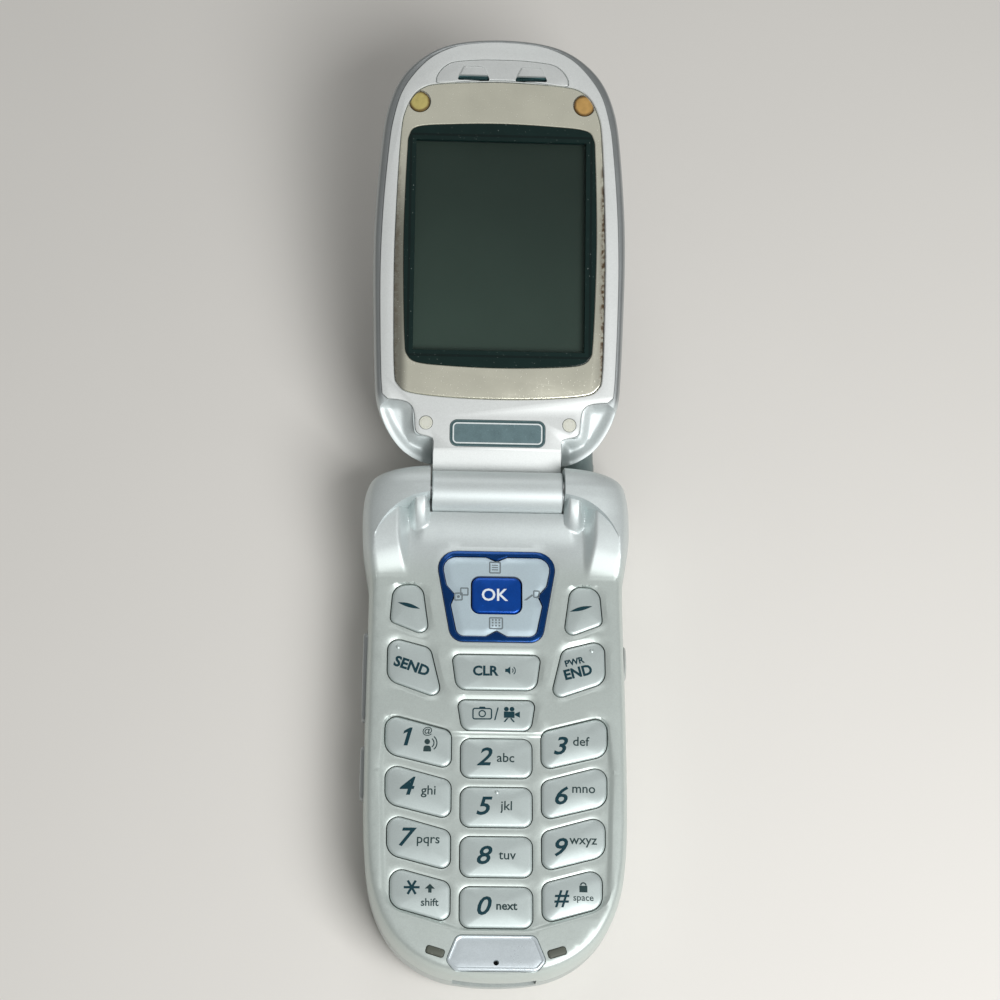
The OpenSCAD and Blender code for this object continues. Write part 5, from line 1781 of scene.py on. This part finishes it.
class PHONE_OT_earpiece_panel(Build, bpy.types.Operator):
    """Build the panel over the earpiece with its two hooded slots"""
    bl_idname = "phone.earpiece_panel"
    bl_label = "Earpiece Panel"

    def build(self):
        panel = Solid(stepped(GRILLE_OUTLINE, (0, FACE - 0.7), (0, FACE - 0.18),
                              (0.08, FACE - 0.06), (0.2, FACE - 0.02)))
        for side in (1, -1):
            x = side * HOOD_X
            hood = rounded([(x - 3.0, 78.3, 0.3), (x + 3.0, 78.3, 0.3), (x + 1.9, 80.5, 0.6),
                            (x - 1.9, 80.5, 0.6)])
            panel += stepped(hood, (0, FACE - 0.3), (0, FACE - 0.02), (0.12, FACE + 0.16),
                             (0.26, FACE + 0.32), (0.38, FACE + 0.36))
        for side in (1, -1):
            x = side * HOOD_X
            panel -= plate(rounded([(x - 3.1, 77.8, 0.3), (x + 3.1, 77.8, 0.3),
                                    (x + 2.7, 78.75, 0.3), (x - 2.7, 78.75, 0.3)]), -3, 1)
        paint = metal_paint("panel_paint", tuple(0.93 * v for v in colours().cover), True,
                            metallic=0.25)
        piece("ear_panel", "lid", panel, paint, ["earpiece_panel"])
        cloth = Solid(plate(inset(GRILLE_OUTLINE, 0.9), FACE - 0.72, FACE - 0.55))
        mesh = moulded("ear_mesh", (0.02, 0.075, 0.08), 0.7, 6.0, 0.02, True)
        piece("ear_cloth", "lid", cloth, mesh)


class PHONE_OT_plugs(Build, bpy.types.Operator):
    """Build the plugs over the lid's screws"""
    bl_idname = "phone.plugs"
    bl_label = "Screw Plugs"

    def build(self):
        tones = {"plug_left": colours().plug_left, "plug_right": colours().plug_right}
        for (name, tone), (x, y) in zip(tones.items(), LID_SCREWS[:2]):
            disc = Solid(turned([(1.92, -0.9), (1.92, -0.3), (1.78, -0.16), (1.5, -0.13)],
                                upright(x, y, FACE)))
            disc &= plate(inset(BEZEL_OUTLINE, 0.12), FACE - 2, FACE + 1)
            nodes = ["screw_plugs"] if name == "plug_left" else []
            piece(name, "lid", disc, plug_gold(name, tone), nodes)
        small = [turned([(1.22, -0.9), (1.22, -0.1), (1.14, -0.03), (0.98, -0.02), (0.94, -0.1),
                         (0.86, -0.1), (0.82, -0.02)], upright(x, y, FACE))
                 for x, y in LID_SCREWS[2:]]
        paint = metal_paint("plug_paint", (0.78, 0.79, 0.70), True, metallic=0.2, rough=0.46)
        piece("plugs_lower", "lid", Solid(*small), paint)


class PHONE_OT_badge(Build, bpy.types.Operator):
    """Build the bare plate below the display"""
    bl_idname = "phone.badge"
    bl_label = "Badge Plate"

    def build(self):
        o = BADGE_OUTLINE
        badge = Solid(stepped(o, (0, FACE - 0.5), (0, FACE - 0.06), (0.1, FACE + 0.02)))
        line = shifted(ring_patch(inset(o, 0.62), 0.24), 0, 0, FACE + 0.02)
        rim = shifted(ring_patch(inset(o, 0.3), 0.3), 0, 0, FACE + 0.015)
        piece("badge_field", "lid", badge,
              tinted_metal("badge_lacquer", colours().badge, 0.3, 0.3, 0.6, True),
              ["badge_plate"])
        piece("badge_line", "lid", Solid(line), ink("keyline_ink", (0.78, 0.83, 0.83), True))
        piece("badge_rim", "lid", Solid(rim), ink("rim_ink", (0.05, 0.10, 0.105), True))


class PHONE_OT_outer_window(Build, bpy.types.Operator):
    """Build the outer window, the camera and the flash"""
    bl_idname = "phone.outer_window"
    bl_label = "Outer Window and Camera"

    def build(self):
        pane = Solid(stepped(box_outline(*OUTER_WINDOW_SIZE, 2.9, 0, OUTER_WINDOW_Y),
                             (0.35, BACK + 0.05), (0.1, BACK + 0.12), (0, BACK + 0.3),
                             (0, BACK + 0.8)))
        glass = dark_glass("outer_glass", (0.012, 0.014, 0.018))
        flash = turned([(1.2, 0.1), (1.35, 0.25), (1.35, 1.2)],
                       upright(FLASH_X, CAMERA_Y, BACK), 32)
        piece("outer_pane", "lid", pane, glass, ["outer_window"])
        clear = moulded("flash_lens", (0.75, 0.76, 0.72), 0.12, 2.5, 0.05, True)
        piece("flash_lens", "lid", Solid(flash), clear)
        place = upright(0, CAMERA_Y, BACK)
        ring = Solid(turned([(3.2, -0.3), (3.75, -0.28), (4.05, 0.0), (4.05, 2.1)], place, 64))
        ring -= turned([(3.1, -1), (3.05, -0.3), (2.66, 0.6), (2.66, 4)], place, 64)
        piece("camera_bezel", "lid", ring, bare_metal("ring_chrome", (0.70, 0.71, 0.72), True, 0.12),
              ["camera_ring"])


def finish_node(name, material):
    """Gives a CAD node its finish."""
    mesh = frame["nodes"][name].data
    mesh.materials.clear()
    mesh.materials.append(material)


class PHONE_OT_inner_parts(Build, bpy.types.Operator):
    """Finish the parts inside the base and the lid"""
    bl_idname = "phone.inner_parts"
    bl_label = "Inner Parts"

    def build(self):
        steel = bare_metal("steel", (0.55, 0.56, 0.57))
        mesh = moulded("mic_mesh", (0.012, 0.012, 0.012), 0.7, 6.0, 0.02)
        dark_steel = bare_metal("dark_steel", (0.16, 0.16, 0.17), rough=0.35)
        plastic = moulded("black_plastic", (0.022, 0.023, 0.024), 0.42, 5.0, 0.01)
        finishes = {
            "keypad_mat": moulded("mat_rubber", (0.05, 0.055, 0.06), 0.7, 4.0, 0.02),
            "main_board": board("board_green", (0.010, 0.085, 0.030)),
            "lid_board": board("lid_board_green", (0.010, 0.085, 0.030), True),
            "shield_cans": steel, "battery_contacts": bare_metal("contact_gold", (0.75, 0.52, 0.18)),
            "microphone": mesh, "vibration_motor": steel, "system_connector": plastic,
            "headset_jack": plastic, "housing_screws": dark_steel, "lid_screws": dark_steel,
            "hinge_shaft": steel, "hinge_bush": steel, "hinge_cartridge": dark_steel,
            "nav_web": plastic, "battery_cell": bare_metal("cell_foil", (0.60, 0.61, 0.62)),
            "earpiece": moulded("ear_shell", (0.03, 0.03, 0.032), 0.6, 6.0, 0.02, True),
            "camera_module": moulded("lens_black", (0.010, 0.011, 0.014), 0.15, 3.0, 0.004, True),
        }
        for node, material in finishes.items():
            finish_node(node, material)


class PHONE_OT_stage(Build, bpy.types.Operator):
    """Build the table top, the lamps, the world and the camera"""
    bl_idname = "phone.stage"
    bl_label = "Stage"

    def build(self):
        half = sizes().floor_size / 2
        mesh = bpy.data.meshes.new("floor")
        mesh.from_pydata([(-half, -half, 0), (half, -half, 0), (half, half, 0), (-half, half, 0)],
                         [], [(0, 1, 2, 3)])
        floor = bpy.data.objects.new("floor", mesh)
        bpy.context.scene.collection.objects.link(floor)
        mesh.materials.append(floor_finish("table_top", colours().floor))
        self.lamp("key_light", (0.18, -0.25, 0.36), 0.26, 1.75)
        self.lamp("fill_light", (-0.05, 0.62, 0.56), 0.40, 0.8)
        world = bpy.data.worlds.new("room")
        world.use_nodes = True
        sky = world.node_tree.nodes["Background"]
        sky.inputs["Color"].default_value = (1.0, 1.0, 0.98, 1)
        sky.inputs["Strength"].default_value = 0.21
        bpy.context.scene.world = world
        bpy.context.scene.view_settings.view_transform = "Standard"
        self.camera()

    def lamp(self, name, place, size, power):
        """A square soft lamp that points at the telephone."""
        light = bpy.data.lights.new(name, "AREA")
        light.size = size
        light.energy = power
        made = bpy.data.objects.new(name, light)
        made.location = place
        made.rotation_mode = "QUATERNION"
        made.rotation_quaternion = Vector(place).to_track_quat("Z", "Y")
        bpy.context.scene.collection.objects.link(made)

    def camera(self):
        """A camera over the chin end, turned a little."""
        azimuth = math.radians(-6.879)
        elevation = math.radians(67.807)
        roll = math.radians(7.457)
        distance = 0.392
        target = Vector((0.000574, -0.00136, HINGE_Z * MM + 0.0003))
        back = Vector((math.sin(azimuth) * math.cos(elevation),
                       -math.cos(azimuth) * math.cos(elevation), math.sin(elevation)))
        lens = bpy.data.cameras.new("camera")
        lens.lens = 77.27
        lens.sensor_width = 36
        lens.clip_start = 0.01
        made = bpy.data.objects.new("camera", lens)
        bpy.context.scene.collection.objects.link(made)
        level = back.to_track_quat("Z", "Y").to_matrix().to_4x4()
        made.matrix_world = (Matrix.Translation(target + back * distance) @ level
                             @ Matrix.Rotation(roll, 4, "Z"))
        bpy.context.scene.camera = made


OPERATORS = [
    PHONE_OT_stage, PHONE_OT_rear_housing, PHONE_OT_front_cover, PHONE_OT_chin, PHONE_OT_keys,
    PHONE_OT_navigation, PHONE_OT_side_keys, PHONE_OT_antenna, PHONE_OT_battery,
    PHONE_OT_lid_housing, PHONE_OT_lid_cover, PHONE_OT_bezel, PHONE_OT_display,
    PHONE_OT_earpiece_panel, PHONE_OT_plugs, PHONE_OT_badge, PHONE_OT_outer_window,
    PHONE_OT_inner_parts]


class PHONE_PT_panel(bpy.types.Panel):
    """Lists the pieces and their settings"""
    bl_idname = "PHONE_PT_panel"
    bl_label = "Telephone"
    bl_space_type = "VIEW_3D"
    bl_region_type = "UI"
    bl_category = "Telephone"

    def draw(self, context):
        for operator in OPERATORS:
            self.layout.operator(operator.bl_idname)
        for group in (context.scene.phone_colours, context.scene.phone_sizes):
            for name in group.__annotations__:
                self.layout.prop(group, name)


CLASSES = [PhoneColours, PhoneSizes, *OPERATORS, PHONE_PT_panel]


def register():
    """Registers the add-on's classes and settings."""
    for kind in CLASSES:
        bpy.utils.register_class(kind)
    bpy.types.Scene.phone_colours = bpy.props.PointerProperty(type=PhoneColours)
    bpy.types.Scene.phone_sizes = bpy.props.PointerProperty(type=PhoneSizes)


def unregister():
    """Takes the add-on's classes and settings away."""
    del bpy.types.Scene.phone_sizes
    del bpy.types.Scene.phone_colours
    for kind in reversed(CLASSES):
        bpy.utils.unregister_class(kind)


def main():
    """Builds the telephone."""
    register()
    for operator in OPERATORS:
        group, name = operator.bl_idname.split(".")
        getattr(getattr(bpy.ops, group), name)()


if __name__ == "__main__":
    main()
